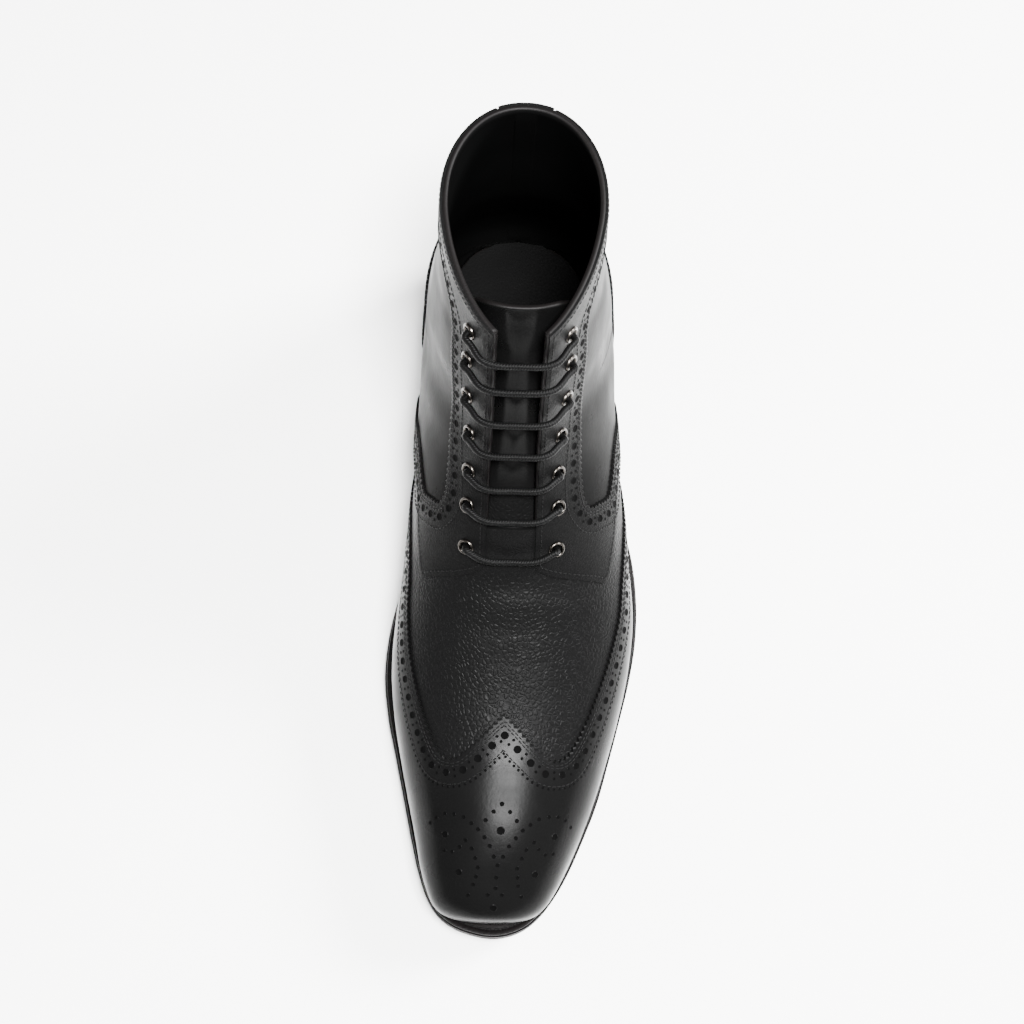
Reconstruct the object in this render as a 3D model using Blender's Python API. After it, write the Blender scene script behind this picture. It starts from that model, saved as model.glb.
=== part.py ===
"""Left ankle boot in black leather with a wing cap, seven pairs of eyelets and a studded rubber sole.

Frame: metres, +Z up, toe towards -Y, outer side of the foot towards +X, standing on Z = 0.
"along" is the distance from the back of the heel towards the toe, "up" is the height above
the bed, which is the curved top of the sole that the upper stands on.
"""
import math

import bmesh
import bpy
import numpy as np

# Driving sizes
SOLE_LENGTH = 0.300
BALL_WIDTH = 0.105
SHAFT_HEIGHT = 0.150
HEEL_RISE = 0.0170
TOE_SPRING = 0.010
HEEL_LENGTH = 0.084
HEEL_HOLLOW = 0.0035
LIFT_HEIGHT = 0.0102
LIFT_TAPER = 0.0012
STUD_HEIGHT = 0.0015
STUD_RADIUS = 0.0042
RECESS_RADIUS = 0.0074
RECESS_DEPTH = 0.0018
PIT_RADIUS = 0.0045
OUTSOLE_THICK = 0.0046
MIDSOLE_THICK = 0.0030
WELT_THICK = 0.0028
WELT_WIDTH = 0.012
WELT_INSET = 0.0008
EDGE_BEVEL = 0.0010
INSOLE_THICK = 0.0028
WALL = 0.0020
OVERLAY = 0.0012
GAP = 0.0003
SKIN_GAP = 0.0004
THROAT_GAP = 0.0096
TONGUE_THICK = 0.0018
EYELET_RADIUS = 0.0034
EYELET_HOLE = 0.0021
EYELET_THICK = 0.0007
LACE_RADIUS = 0.0013
LACE_SAG = 0.0045

SOLE_STACK = OUTSOLE_THICK + MIDSOLE_THICK + WELT_THICK + 2 * GAP

# Underside of the sole: along (share of the length), then shares of the heel rise and toe spring
GROUND = np.array([
    (0.00, 1.27, 0.00),
    (0.13, 1.14, 0.00),
    (0.28, 1.00, 0.00),
    (0.367, 0.70, 0.00),
    (0.467, 0.29, 0.00),
    (0.55, 0.06, 0.00),
    (0.61, 0.00, 0.00),
    (0.775, 0.00, 0.00),
    (0.885, 0.00, 0.30),
    (1.00, 0.00, 1.00),
])

# Outline of the sole: along, inner side and outer side, as shares of the length and ball width
OUTLINE = np.array([
    (0.000, -0.013, -0.013),
    (0.008, -0.165, 0.140),
    (0.030, -0.265, 0.240),
    (0.065, -0.322, 0.303),
    (0.130, -0.352, 0.338),
    (0.200, -0.350, 0.345),
    (0.275, -0.328, 0.350),
    (0.343, -0.315, 0.372),
    (0.408, -0.335, 0.420),
    (0.474, -0.392, 0.476),
    (0.539, -0.456, 0.498),
    (0.590, -0.486, 0.494),
    (0.645, -0.496, 0.470),
    (0.700, -0.478, 0.434),
    (0.755, -0.443, 0.395),
    (0.818, -0.402, 0.346),
    (0.868, -0.370, 0.292),
    (0.912, -0.338, 0.238),
    (0.950, -0.298, 0.176),
    (0.975, -0.247, 0.118),
    (0.990, -0.180, 0.062),
    (0.997, -0.115, 0.012),
    (1.000, -0.048, -0.048),
])

# Sections of the upper from toe to collar. Each is a flat cut through the shoe: its lowest or
# backmost point (along, up), its highest or foremost point (along, up), its half width, the side
# shift of its body and of its ridge, the share of the way up where it is widest, the squareness
# of its lower and upper halves, and how far it leans over the toe when it grows.
# along is a share of the sole length, up of the shaft height, widths and shifts of the ball width.
SECTIONS = np.array([
    (0.981, 0.049, 0.981, 0.056, 0.001, -0.056, -0.056, 0.50, 2.20, 2.20, 1.00),
    (0.979, 0.007, 0.978, 0.095, 0.087, -0.060, -0.058, 0.50, 2.20, 2.20, 0.95),
    (0.974, -0.022, 0.970, 0.121, 0.152, -0.063, -0.058, 0.46, 2.40, 2.20, 0.80),
    (0.964, -0.044, 0.957, 0.146, 0.196, -0.063, -0.056, 0.44, 2.60, 2.25, 0.55),
    (0.945, -0.060, 0.939, 0.171, 0.229, -0.058, -0.051, 0.42, 2.80, 2.30, 0.33),
    (0.915, -0.065, 0.909, 0.206, 0.265, -0.050, -0.045, 0.39, 3.00, 2.30, 0.20),
    (0.873, -0.063, 0.868, 0.240, 0.303, -0.037, -0.039, 0.36, 3.20, 2.30, 0.10),
    (0.821, -0.062, 0.818, 0.265, 0.346, -0.027, -0.034, 0.33, 3.40, 2.35, 0.05),
    (0.764, -0.063, 0.764, 0.286, 0.387, -0.021, -0.029, 0.31, 3.50, 2.35, 0.00),
    (0.704, -0.063, 0.708, 0.314, 0.424, -0.015, -0.025, 0.30, 3.50, 2.35, 0.00),
    (0.637, -0.063, 0.653, 0.353, 0.449, -0.005, -0.024, 0.30, 3.40, 2.30, 0.00),
    (0.560, -0.057, 0.602, 0.396, 0.450, 0.008, -0.025, 0.33, 3.00, 2.20, 0.00),
    (0.480, -0.052, 0.558, 0.440, 0.429, 0.010, -0.026, 0.36, 2.50, 2.10, 0.00),
    (0.397, -0.056, 0.518, 0.524, 0.409, 0.006, -0.027, 0.38, 2.40, 1.95, 0.00),
    (0.307, -0.069, 0.490, 0.576, 0.394, 0.000, -0.027, 0.39, 2.60, 1.85, 0.00),
    (0.210, -0.067, 0.468, 0.630, 0.383, -0.007, -0.027, 0.40, 2.90, 1.80, 0.00),
    (0.117, -0.061, 0.453, 0.694, 0.373, -0.010, -0.027, 0.41, 2.90, 1.75, 0.00),
    (0.042, -0.052, 0.442, 0.752, 0.362, -0.011, -0.026, 0.42, 2.70, 1.70, 0.00),
    (0.013, 0.047, 0.432, 0.802, 0.352, -0.013, -0.025, 0.43, 2.50, 1.70, 0.00),
    (0.015, 0.161, 0.422, 0.850, 0.343, -0.015, -0.025, 0.44, 2.40, 1.70, 0.00),
    (0.030, 0.283, 0.412, 0.899, 0.330, -0.017, -0.024, 0.43, 2.30, 1.70, 0.00),
    (0.045, 0.395, 0.402, 0.945, 0.316, -0.019, -0.023, 0.42, 2.20, 1.70, 0.00),
    (0.056, 0.493, 0.395, 0.982, 0.302, -0.021, -0.022, 0.41, 2.15, 1.70, 0.00),
    (0.061, 0.621, 0.389, 1.013, 0.290, -0.022, -0.022, 0.41, 2.10, 1.70, 0.00),
    (0.062, 0.781, 0.385, 1.046, 0.282, -0.022, -0.021, 0.41, 2.10, 1.70, 0.00),
    (0.063, 0.981, 0.382, 1.078, 0.277, -0.022, -0.021, 0.40, 2.10, 1.70, 0.00),
])
COLLAR = len(SECTIONS) - 1.0

# Rear edge of the wing cap: angle around the section, station. Below the bed it is cut away.
WING_EDGE = np.array([
    (-90.0, 13.66), (-43.0, 13.66), (-25.5, 13.78),
    (-10.0, 13.60), (0.0, 13.34), (6.5, 13.00), (17.5, 12.35), (26.5, 11.58), (31.5, 10.95),
    (38.0, 10.05), (42.5, 9.28), (46.5, 8.62), (51.5, 8.00), (61.0, 7.68), (73.0, 7.97),
    (81.5, 8.32), (90.0, 8.68),
])

# Front edge of the heel counter: station, angle
COUNTER_EDGE = np.array([
    (14.90, -55.0), (15.28, -39.0), (15.95, -20.0), (16.36, -13.5), (17.37, -3.0),
    (18.33, -5.5), (19.50, -16.5), (20.63, -32.5), (21.60, -62.0), (21.90, -78.0),
])

# Frame of facing, collar band and front band: outer station and angle, inner station and angle.
# An outer angle of 90 stands for the edge of the throat.
FRAME_BAND = np.array([
    (25.00, -69.0, 24.19, -69.0),
    (25.00, -40.0, 24.20, -40.0),
    (25.00, -18.0, 24.17, -18.0),
    (25.00, 6.0, 23.95, 5.0),
    (25.00, 28.0, 23.55, 21.0),
    (25.00, 50.0, 22.85, 31.5),
    (25.00, 90.0, 22.20, 35.0),
    (23.80, 90.0, 21.70, 37.5),
    (22.20, 90.0, 20.80, 39.5),
    (20.30, 90.0, 20.00, 41.5),
    (18.30, 90.0, 18.90, 44.5),
    (16.60, 90.0, 17.60, 47.0),
    (15.20, 90.0, 16.20, 48.5),
    (14.20, 90.0, 15.00, 49.5),
    (13.30, 90.0, 14.10, 49.0),
    (12.60, 90.0, 13.75, 46.0),
    (12.12, 76.0, 13.68, 43.5),
    (11.96, 65.5, 13.68, 41.5),
    (11.88, 48.0, 13.70, 39.5),
    (11.85, 38.5, 13.72, 37.0),
    (12.40, 31.5, 13.73, 32.5),
    (12.93, 25.7, 13.80, 28.0),
    (13.61, 19.5, 14.10, 23.5),
    (13.99, 13.5, 14.50, 18.0),
    (14.34, 6.0, 14.75, 12.5),
    (14.50, -1.5, 14.93, 5.0),
    (14.60, -14.0, 15.05, -8.0),
    (14.50, -33.5, 15.00, -26.0),
    (14.35, -50.0, 14.90, -42.0),
])

# Back strip: first and last station and its half angle
STRIP = (22.1, COLLAR, 19.5)

# Tongue: station, how far its ridge lies below the ridge of the upper (share of the wall)
TONGUE_DROP = np.array([(11.3, 2.1), (13.0, 2.3), (16.0, 3.4), (20.0, 5.0), (23.0, 6.4), (25.0, 7.6)])
TONGUE_ANGLE = 34.0

# Eyelets on the outer side, bottom to top: station, angle
EYELETS = np.array([
    (12.65, 67.0), (13.90, 65.5), (15.15, 65.0), (16.75, 63.0), (18.80, 59.0), (20.90, 55.0), (23.20, 52.5),
])

# Studs of the outsole: along (share of the length), side (share of the ball width)
STUDS = [(0.52, -0.20), (0.52, 0.24), (0.625, -0.24), (0.625, 0.23), (0.725, -0.23), (0.725, 0.19),
         (0.825, -0.20), (0.825, 0.14), (0.915, -0.04)]
# Recesses in the top lift
PITS = [(0.045, -0.01), (0.10, -0.20), (0.10, 0.18), (0.19, -0.20), (0.19, 0.19)]


def smooth(knots, values, where):
    """Cubic curve through the values at the knots, with slopes weighed from both neighbours."""
    where = np.clip(np.asarray(where, float), knots[0], knots[-1])
    step = np.diff(knots)
    slope = np.diff(values, axis=0) / step[:, None]
    tangent = np.empty_like(values)
    weight = step[:, None]
    tangent[1:-1] = (slope[:-1] * weight[1:] + slope[1:] * weight[:-1]) / (weight[1:] + weight[:-1])
    tangent[0] = 1.5 * slope[0] - 0.5 * tangent[1]
    tangent[-1] = 1.5 * slope[-1] - 0.5 * tangent[-2]
    i = np.clip(np.searchsorted(knots, where, side="right") - 1, 0, len(knots) - 2)
    h = step[i][..., None]
    u = ((where - knots[i]) / step[i])[..., None]
    start = (2 * u**3 - 3 * u**2 + 1) * values[i] + (u**3 - 2 * u**2 + u) * h * tangent[i]
    return start + (3 * u**2 - 2 * u**3) * values[i + 1] + (u**3 - u**2) * h * tangent[i + 1]


def ground(along):
    """Height of the outsole's underside at a distance from the heel."""
    shares = smooth(GROUND[:, 0] * SOLE_LENGTH, GROUND[:, 1:], along)
    return STUD_HEIGHT + HEEL_RISE * shares[..., 0] + TOE_SPRING * shares[..., 1]


def bed(along):
    """Height of the top of the welt, where the upper stands."""
    return ground(along) + SOLE_STACK


def section_rows(station):
    """Sections in metres at any stations, between the rows of the table."""
    scale = [SOLE_LENGTH, SHAFT_HEIGHT, SOLE_LENGTH, SHAFT_HEIGHT, BALL_WIDTH, BALL_WIDTH, BALL_WIDTH, 1, 1, 1, 1]
    table = SECTIONS * np.array(scale)
    table[:, 1] += bed(table[:, 0])
    table[:, 3] += bed(table[:, 2])
    return smooth(np.arange(len(SECTIONS), dtype=float), table, station)


def section_points(rows, angle, lift):
    """Points of superellipse sections: 0 degrees is the outer side, 90 the ridge, -90 the lowest point."""
    low_y, low_z, top_y, top_z, half, body, ridge, middle, n_low, n_top, lean = np.moveaxis(rows, -1, 0)
    turn = np.radians(angle)
    c = np.cos(turn)
    v = np.sin(turn)
    blend = np.clip(v * 2.5 + 0.5, 0, 1)
    blend = blend * blend * (3 - 2 * blend)
    n = n_low + (n_top - n_low) * blend
    radius = (np.abs(c) ** n + np.abs(v) ** n) ** (-1 / n)
    length = np.hypot(top_y - low_y, top_z - low_z)
    tilt_y = (top_y - low_y) / length
    tilt_z = (top_z - low_z) / length
    reach = np.where(v > 0, (1 - middle) * length + lift, middle * length + lift)
    height = middle * length + reach * radius * v
    sway = np.clip(v, 0, 1) ** 2
    x = body + (ridge - body) * sway + (half + lift) * radius * c
    along = low_y + tilt_y * height + lean * lift
    z = low_z + tilt_z * height
    return np.stack([x, SOLE_LENGTH / 2 - along, z], axis=-1)


def shell(station, angle, lift=0.0):
    """Points of the upper's surface, lifted off it or sunk below it."""
    station, angle = np.broadcast_arrays(np.asarray(station, float), np.asarray(angle, float))
    return section_points(section_rows(station), angle, lift)


def tongue_points(station, angle, lift=0.0):
    """Points of the tongue: the upper's sections, narrower, rounder and with a lower ridge."""
    station, angle = np.broadcast_arrays(np.asarray(station, float), np.asarray(angle, float))
    rows = section_rows(station).copy()
    drop = smooth(TONGUE_DROP[:, 0], TONGUE_DROP[:, 1:], station)[..., 0] * WALL
    length = np.hypot(rows[..., 2] - rows[..., 0], rows[..., 3] - rows[..., 1])
    share = 1 - drop / length
    rows[..., 7] = rows[..., 7] / share
    rows[..., 2] = rows[..., 0] + (rows[..., 2] - rows[..., 0]) * share
    rows[..., 3] = rows[..., 1] + (rows[..., 3] - rows[..., 1]) * share
    rows[..., 4] -= 2 * WALL + 2 * SKIN_GAP
    rows[..., 9] += 0.1
    return section_points(rows, angle, lift)


def throat_angle(station, gap):
    """Angle of the section point that lies a given distance beside the ridge."""
    station = np.asarray(station, float)
    ridge = section_rows(station)[..., 6]
    low = np.full(station.shape, 40.0)
    high = np.full(station.shape, 90.0)
    for _ in range(30):
        middle = (low + high) / 2
        wide = shell(station, middle)[..., 0] - ridge > gap
        low = np.where(wide, middle, low)
        high = np.where(wide, high, middle)
    return low


def paint(obj, name, colour, roughness, metallic=0.0):
    """Give an object its own Principled material."""
    material = bpy.data.materials.new(name)
    material.use_nodes = True
    shader = material.node_tree.nodes["Principled BSDF"]
    shader.inputs["Base Color"].default_value = (*colour, 1.0)
    shader.inputs["Roughness"].default_value = roughness
    shader.inputs["Metallic"].default_value = metallic
    obj.data.materials.append(material)


def solid(name, points, faces, colour=None, roughness=0.45, metallic=0.0):
    """One closed mesh object from points and faces, with its faces turned outwards."""
    mesh = bpy.data.meshes.new(name)
    mesh.from_pydata([tuple(p) for p in np.asarray(points).reshape(-1, 3).tolist()], [], faces)
    shape = bmesh.new()
    shape.from_mesh(mesh)
    bmesh.ops.remove_doubles(shape, verts=shape.verts, dist=1e-6)
    bmesh.ops.dissolve_degenerate(shape, edges=shape.edges, dist=1e-6)
    bmesh.ops.recalc_face_normals(shape, faces=shape.faces)
    shape.to_mesh(mesh)
    shape.free()
    mesh.shade_smooth()
    mesh.set_sharp_from_angle(angle=math.radians(35))
    obj = bpy.data.objects.new(name, mesh)
    bpy.context.scene.collection.objects.link(obj)
    if colour is None:
        obj.hide_render = True
        obj.display_type = "WIRE"
    else:
        paint(obj, name + "_finish", colour, roughness, metallic)
    return obj


def combine(obj, cutter, operation):
    """Add a live exact boolean to an object."""
    modifier = obj.modifiers.new(operation.lower() + "_" + cutter.name, "BOOLEAN")
    modifier.operation = operation
    modifier.solver = "EXACT"
    modifier.object = cutter


def tidy(obj):
    """Close the hairline cracks that a boolean can leave between equal points."""
    modifier = obj.modifiers.new("tidy", "WELD")
    modifier.merge_threshold = 5e-6


def grid_faces(rows, columns, start=0, closed=False):
    """Quads of a grid of points, closed around its columns where asked."""
    last = columns if closed else columns - 1
    faces = []
    for i in range(rows - 1):
        for j in range(last):
            k = (j + 1) % columns
            a = start + i * columns
            faces.append((a + j, a + k, a + columns + k, a + columns + j))
    return faces


def thick_sheet(name, outer, inner, colour, closed=False, roughness=0.45):
    """A solid between two grids of points, with a wall along each open edge."""
    rows, columns = outer.shape[:2]
    count = rows * columns
    faces = grid_faces(rows, columns, 0, closed)
    faces += [tuple(reversed(f)) for f in grid_faces(rows, columns, count, closed)]
    last = columns if closed else columns - 1
    for j in range(last):
        k = (j + 1) % columns
        top = (rows - 1) * columns
        if not closed:
            faces.append((k, j, count + j, count + k))
        faces.append((top + j, top + k, count + top + k, count + top + j))
    if closed:
        faces += [tuple(range(columns)), tuple(count + j for j in range(columns))]
    else:
        for i in range(rows - 1):
            a = i * columns
            b = a + columns
            faces.append((a, b, count + b, count + a))
            faces.append((b + columns - 1, a + columns - 1, count + a + columns - 1, count + b + columns - 1))
    points = np.concatenate([outer.reshape(-1, 3), inner.reshape(-1, 3)])
    return solid(name, points, faces, colour, roughness)


def tube_solid(name, stations, angles, lift, rise, colour=None):
    """A closed form around the foot: toe point, sections and a flat end at the collar."""
    points = shell(stations[:, None], angles[None, :], lift)
    if rise:
        lid = points[-1:] + np.array([0, 0, rise])
        points = np.concatenate([points, lid])
    rows, columns = points.shape[:2]
    faces = []
    for a, b, c, d in grid_faces(rows, columns, 0, True):
        faces += [(a, b, c), (a, c, d)]
    faces.append(tuple(range(columns)))
    faces.append(tuple((rows - 1) * columns + j for j in range(columns)))
    return solid(name, points, faces, colour)


def outline(along, inset=0.0):
    """Inner and outer edge of the sole at distances from the heel, drawn in by an inset."""
    share = np.clip(along / SOLE_LENGTH, 0, 1)
    turn = np.arccos(1 - 2 * share)
    knots = np.arccos(1 - 2 * OUTLINE[:, 0])
    edges = smooth(knots, OUTLINE[:, 1:] * BALL_WIDTH, turn)
    middle = edges.mean(axis=-1)
    shrink = 1 - inset / (0.45 * BALL_WIDTH)
    return middle + (edges[..., 0] - middle) * shrink, middle + (edges[..., 1] - middle) * shrink


def sole_loop(distances, inset, height):
    """Closed loop of the sole's outline: out along one side to the toe and back along the other."""
    along = inset + distances / SOLE_LENGTH * (SOLE_LENGTH - 2 * inset)
    inner, outer = outline(distances, inset)
    up = height(along)
    right = np.stack([outer, SOLE_LENGTH / 2 - along, up], axis=-1)
    left = np.stack([inner, SOLE_LENGTH / 2 - along, up], axis=-1)
    return np.concatenate([right, left[-2:0:-1]])


def ladder(count, start, pairs):
    """Strip of faces across a loop, from rung to rung."""
    faces = []
    for k in range(pairs - 1):
        a = start + k
        b = start + k + 1
        c = start + (count - k - 1) % count
        d = start + (count - k) % count
        faces.append(tuple(dict.fromkeys((a, b, c, d))))
    return faces


def plate(name, distances, levels, colour, roughness=0.5, ring=False):
    """A sole layer through loops at several levels, either capped or joined into a ring."""
    loops = [sole_loop(distances, inset, height) for inset, height in levels]
    count = len(loops[0])
    faces = []
    for i in range(len(loops) - (0 if ring else 1)):
        a = i * count
        b = ((i + 1) % len(loops)) * count
        for j in range(count):
            k = (j + 1) % count
            faces.append((a + j, a + k, b + k, b + j))
    if not ring:
        faces += ladder(count, 0, len(distances))
        faces += ladder(count, (len(loops) - 1) * count, len(distances))
    return solid(name, np.concatenate(loops), faces, colour, roughness)


def heel_layer(name, bottom, top, inset_low, inset_high, colour):
    """A layer of the heel: the sole's outline up to the breast, between two heights."""
    turn = np.linspace(0, math.pi / 2, 13)
    distances = HEEL_LENGTH * (1 - np.cos(turn))
    loops = []
    for height, inset in ((bottom, inset_low), (top, inset_high)):
        inner, outer = outline(distances, inset)
        along = inset * (1 - distances / HEEL_LENGTH) + distances
        up = height(along)
        right = np.stack([outer, SOLE_LENGTH / 2 - along, up], axis=-1)
        left = np.stack([inner, SOLE_LENGTH / 2 - along, up], axis=-1)
        loops.append(np.concatenate([right, left[:0:-1]]))
    count = len(loops[0])
    faces = [(j, (j + 1) % count, count + (j + 1) % count, count + j) for j in range(count)]
    faces += ladder(count, 0, len(distances)) + ladder(count, count, len(distances))
    return solid(name, np.concatenate(loops), faces, colour, 0.5)


def cylinder(name, centre, radius, low, high, sides, hole=0.0):
    """An upright cylinder, or a ring where it has a hole, as a cutter or a tool."""
    turn = np.arange(sides) * 2 * math.pi / sides
    circle = np.stack([np.cos(turn), np.sin(turn)], axis=-1)
    radii = [radius, radius] if not hole else [radius, radius, hole, hole]
    heights = [low, high] if not hole else [low, high, high, low]
    loops = []
    for r, z in zip(radii, heights):
        loops.append(np.column_stack([circle * r + np.array(centre), np.full(sides, z)]))
    faces = []
    for i in range(len(loops) - (0 if hole else 1)):
        a = i * sides
        b = ((i + 1) % len(loops)) * sides
        faces += [(a + j, a + (j + 1) % sides, b + (j + 1) % sides, b + j) for j in range(sides)]
    if not hole:
        faces.append(tuple(range(sides)))
        faces.append(tuple(sides + j for j in range(sides)))
    return solid(name, np.concatenate(loops), faces)


def bed_cutter(name, clearance, thickness=None):
    """A slab under the bed's surface plus a clearance, or a layer of a given thickness on it."""
    along = np.linspace(-0.1, 1.1, 37) * SOLE_LENGTH
    low = np.full(along.shape, -0.3 * SHAFT_HEIGHT) if thickness is None else bed(along) + clearance
    high = bed(along) + clearance + (thickness or 0.0)
    side = 0.8 * BALL_WIDTH
    y = SOLE_LENGTH / 2 - along
    corners = [(-side, low), (side, low), (side, high), (-side, high)]
    points = np.stack([np.column_stack([np.full(along.shape, x), y, z]) for x, z in corners], axis=1)
    faces = grid_faces(len(along), 4, 0, True)
    last = (len(along) - 1) * 4
    faces += [(0, 1, 2, 3), (last, last + 1, last + 2, last + 3)]
    return solid(name, points, faces)


def throat_cutter():
    """A bar that follows the ridge from the vamp to above the collar and opens the throat."""
    stations = np.concatenate([[13.3], np.arange(14, COLLAR + 1)])
    rows = section_rows(stations)
    ridge = shell(stations, 90.0)
    inward = np.stack([0 * stations, rows[:, 2] - rows[:, 0], rows[:, 1] - rows[:, 3]], axis=-1)
    inward /= np.linalg.norm(inward, axis=1)[:, None]
    out = ridge - inward * 6 * WALL
    deep = ridge + inward * 12 * WALL
    side = np.array([THROAT_GAP, 0, 0])
    ring = np.stack([out - side, out + side, deep + side, deep - side], axis=1)
    ring = np.concatenate([ring, ring[-1:] + np.array([0, 0, 0.1 * SHAFT_HEIGHT])])
    faces = grid_faces(len(ring), 4, 0, True)
    last = (len(ring) - 1) * 4
    faces += [(0, 1, 2, 3), (last, last + 1, last + 2, last + 3)]
    return solid("throat_cutter", ring, faces)


def build_sole():
    """Outsole with studs, midsole, welt, heel base and top lift."""
    turn = np.linspace(0, math.pi, 33)
    distances = SOLE_LENGTH * (1 - np.cos(turn)) / 2
    black = (0.012, 0.012, 0.012)

    def over_ground(rise):
        return lambda along: ground(along) + rise

    outsole = plate("outsole", distances, [
        (EDGE_BEVEL, over_ground(0)),
        (0, over_ground(EDGE_BEVEL)),
        (0, over_ground(OUTSOLE_THICK)),
    ], black, 0.6)
    midsole_low = OUTSOLE_THICK + GAP
    midsole_high = midsole_low + MIDSOLE_THICK
    plate("midsole", distances, [
        (0, over_ground(midsole_low)),
        (0, over_ground(midsole_high)),
        (WELT_WIDTH + GAP, over_ground(midsole_high)),
        (WELT_WIDTH + GAP, over_ground(SOLE_STACK)),
    ], black, 0.5)
    plate("welt", distances, [
        (WELT_INSET, over_ground(midsole_high + GAP)),
        (WELT_INSET, over_ground(SOLE_STACK)),
        (WELT_WIDTH, over_ground(SOLE_STACK)),
        (WELT_WIDTH, over_ground(midsole_high + GAP)),
    ], black, 0.5, ring=True)
    for number, (along, side) in enumerate(STUDS):
        centre = (side * BALL_WIDTH, SOLE_LENGTH * (0.5 - along))
        level = float(ground(np.array(along * SOLE_LENGTH)))
        name = "recess_%d" % number
        high = level + RECESS_DEPTH
        low = level - 4 * RECESS_DEPTH
        combine(outsole, cylinder(name, centre, RECESS_RADIUS, low, high, 10, STUD_RADIUS + GAP), "DIFFERENCE")
        stud = cylinder("stud_%d" % number, centre, STUD_RADIUS, level - STUD_HEIGHT, level + RECESS_DEPTH * 1.3, 10)
        combine(outsole, stud, "UNION")
    base = heel_layer("heel_base", lambda a: a * 0 + LIFT_HEIGHT + GAP, over_ground(-GAP),
                      LIFT_TAPER / 2, 0, black)
    lift = heel_layer("top_lift", lambda a: a * 0, lambda a: a * 0 + LIFT_HEIGHT, LIFT_TAPER, LIFT_TAPER / 2, black)
    bow = HEEL_LENGTH
    centre = (0, SOLE_LENGTH / 2 - HEEL_LENGTH - bow + HEEL_HOLLOW)
    breast = cylinder("breast_cutter", centre, bow, -LIFT_HEIGHT, 6 * LIFT_HEIGHT, 72)
    combine(base, breast, "DIFFERENCE")
    combine(lift, breast, "DIFFERENCE")
    for number, (along, side) in enumerate(PITS):
        centre = (side * BALL_WIDTH, SOLE_LENGTH * (0.5 - along))
        pit = cylinder("pit_%d" % number, centre, PIT_RADIUS, -RECESS_DEPTH, RECESS_DEPTH, 12)
        combine(lift, pit, "DIFFERENCE")


def build_upper():
    """Hollow upper, insole and the overlays on it, all cut at the bed."""
    toe = np.array([0, 0.3, 0.7, 1.2, 1.8, 2.4, 3.1])
    shaft = np.array([17, 17.5, 18, 18.6, 19.5, 20.7, 22, 23.5, COLLAR])
    stations = np.concatenate([toe, np.arange(4, 17), shaft])
    angles = np.arange(26) * 360 / 26 - 90
    within = np.concatenate([[0, 0.4, 1, 1.7, 2.5, 3.5, 5], np.arange(6.5, 16, 1.5), shaft[::2]])
    inner_angles = np.arange(22) * 360 / 22 - 90
    under = bed_cutter("under_cutter", GAP)
    upper = tube_solid("upper", stations, angles, 0.0, 0.0, (0.015, 0.015, 0.016))
    inside = tube_solid("inside_cutter", within, inner_angles, -WALL, 0.1 * SHAFT_HEIGHT)
    for cutter in (inside, under, throat_cutter()):
        combine(upper, cutter, "DIFFERENCE")
        tidy(upper)
    foot = tube_solid("insole", within[:-3], inner_angles, -WALL - SKIN_GAP, 0.0, (0.02, 0.02, 0.02))
    combine(foot, bed_cutter("insole_layer", 2 * GAP, INSOLE_THICK), "INTERSECT")
    skin = tube_solid("skin_cutter", stations, angles, GAP, 0.1 * SHAFT_HEIGHT)
    form = tube_solid("overlay_form", stations, angles, GAP + OVERLAY, 0.1 * SHAFT_HEIGHT)
    build_wing(skin, form, under)
    build_counter(skin, form, under)
    build_frames(skin, form, under)
    across = -90 + STRIP[2] * np.linspace(-1, 1, 5)
    rows = np.linspace(STRIP[0], STRIP[1], 5)[:, None]
    overlay("back_strip", rows, across[None, :], (skin, form), (0.018, 0.018, 0.018))


def overlay(name, rows, across, forms, colour, closed=False):
    """A second skin over part of the upper: a region cut between two larger forms of the upper."""
    outer = shell(rows, across, 3 * WALL)
    inner = shell(rows, across, -WALL)
    piece = thick_sheet(name, outer, inner, colour, closed)
    combine(piece, forms[1], "INTERSECT")
    tidy(piece)
    for cutter in (forms[0], *forms[2:]):
        combine(piece, cutter, "DIFFERENCE")
        tidy(piece)
    return piece


def build_wing(skin, form, under):
    """Wing cap around the toe, with its point on the ridge and its wings along both sides."""
    turn = np.array([-90, -68, -50, -38, -26, -15, -4, 6, 15, 24, 31.5, 38, 42.5, 47, 53, 61, 73, 81.5, 90])
    edge = smooth(WING_EDGE[:, 0], WING_EDGE[:, 1:], turn)[:, 0]
    around = np.concatenate([turn, 180 - turn[-2:0:-1]])
    reach = np.concatenate([edge, edge[-2:0:-1]])
    share = np.array([0, 0.04, 0.1, 0.18, 0.28, 0.4, 0.55, 0.7, 0.85, 1.0])
    overlay("wing_cap", share[:, None] * reach[None, :], around[None, :], (skin, form, under),
            (0.012, 0.012, 0.012), closed=True)


def build_counter(skin, form, under):
    """Counter around the heel, up to a rounded top at the back."""
    along = np.array([14.9, 15.5, 16.1, 16.7, 17.4, 18.0, 18.6, 19.4, 20.2, 20.8, 21.3, 21.65, 21.9])
    swing = smooth(COUNTER_EDGE[:, 0], COUNTER_EDGE[:, 1:], along)[:, 0] + 90
    across = -90 + swing[:, None] * np.linspace(-1, 1, 13)[None, :]
    rows = np.repeat(along[:, None], across.shape[1], axis=1)
    overlay("counter", rows, across, (skin, form, under), (0.018, 0.018, 0.018))


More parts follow.
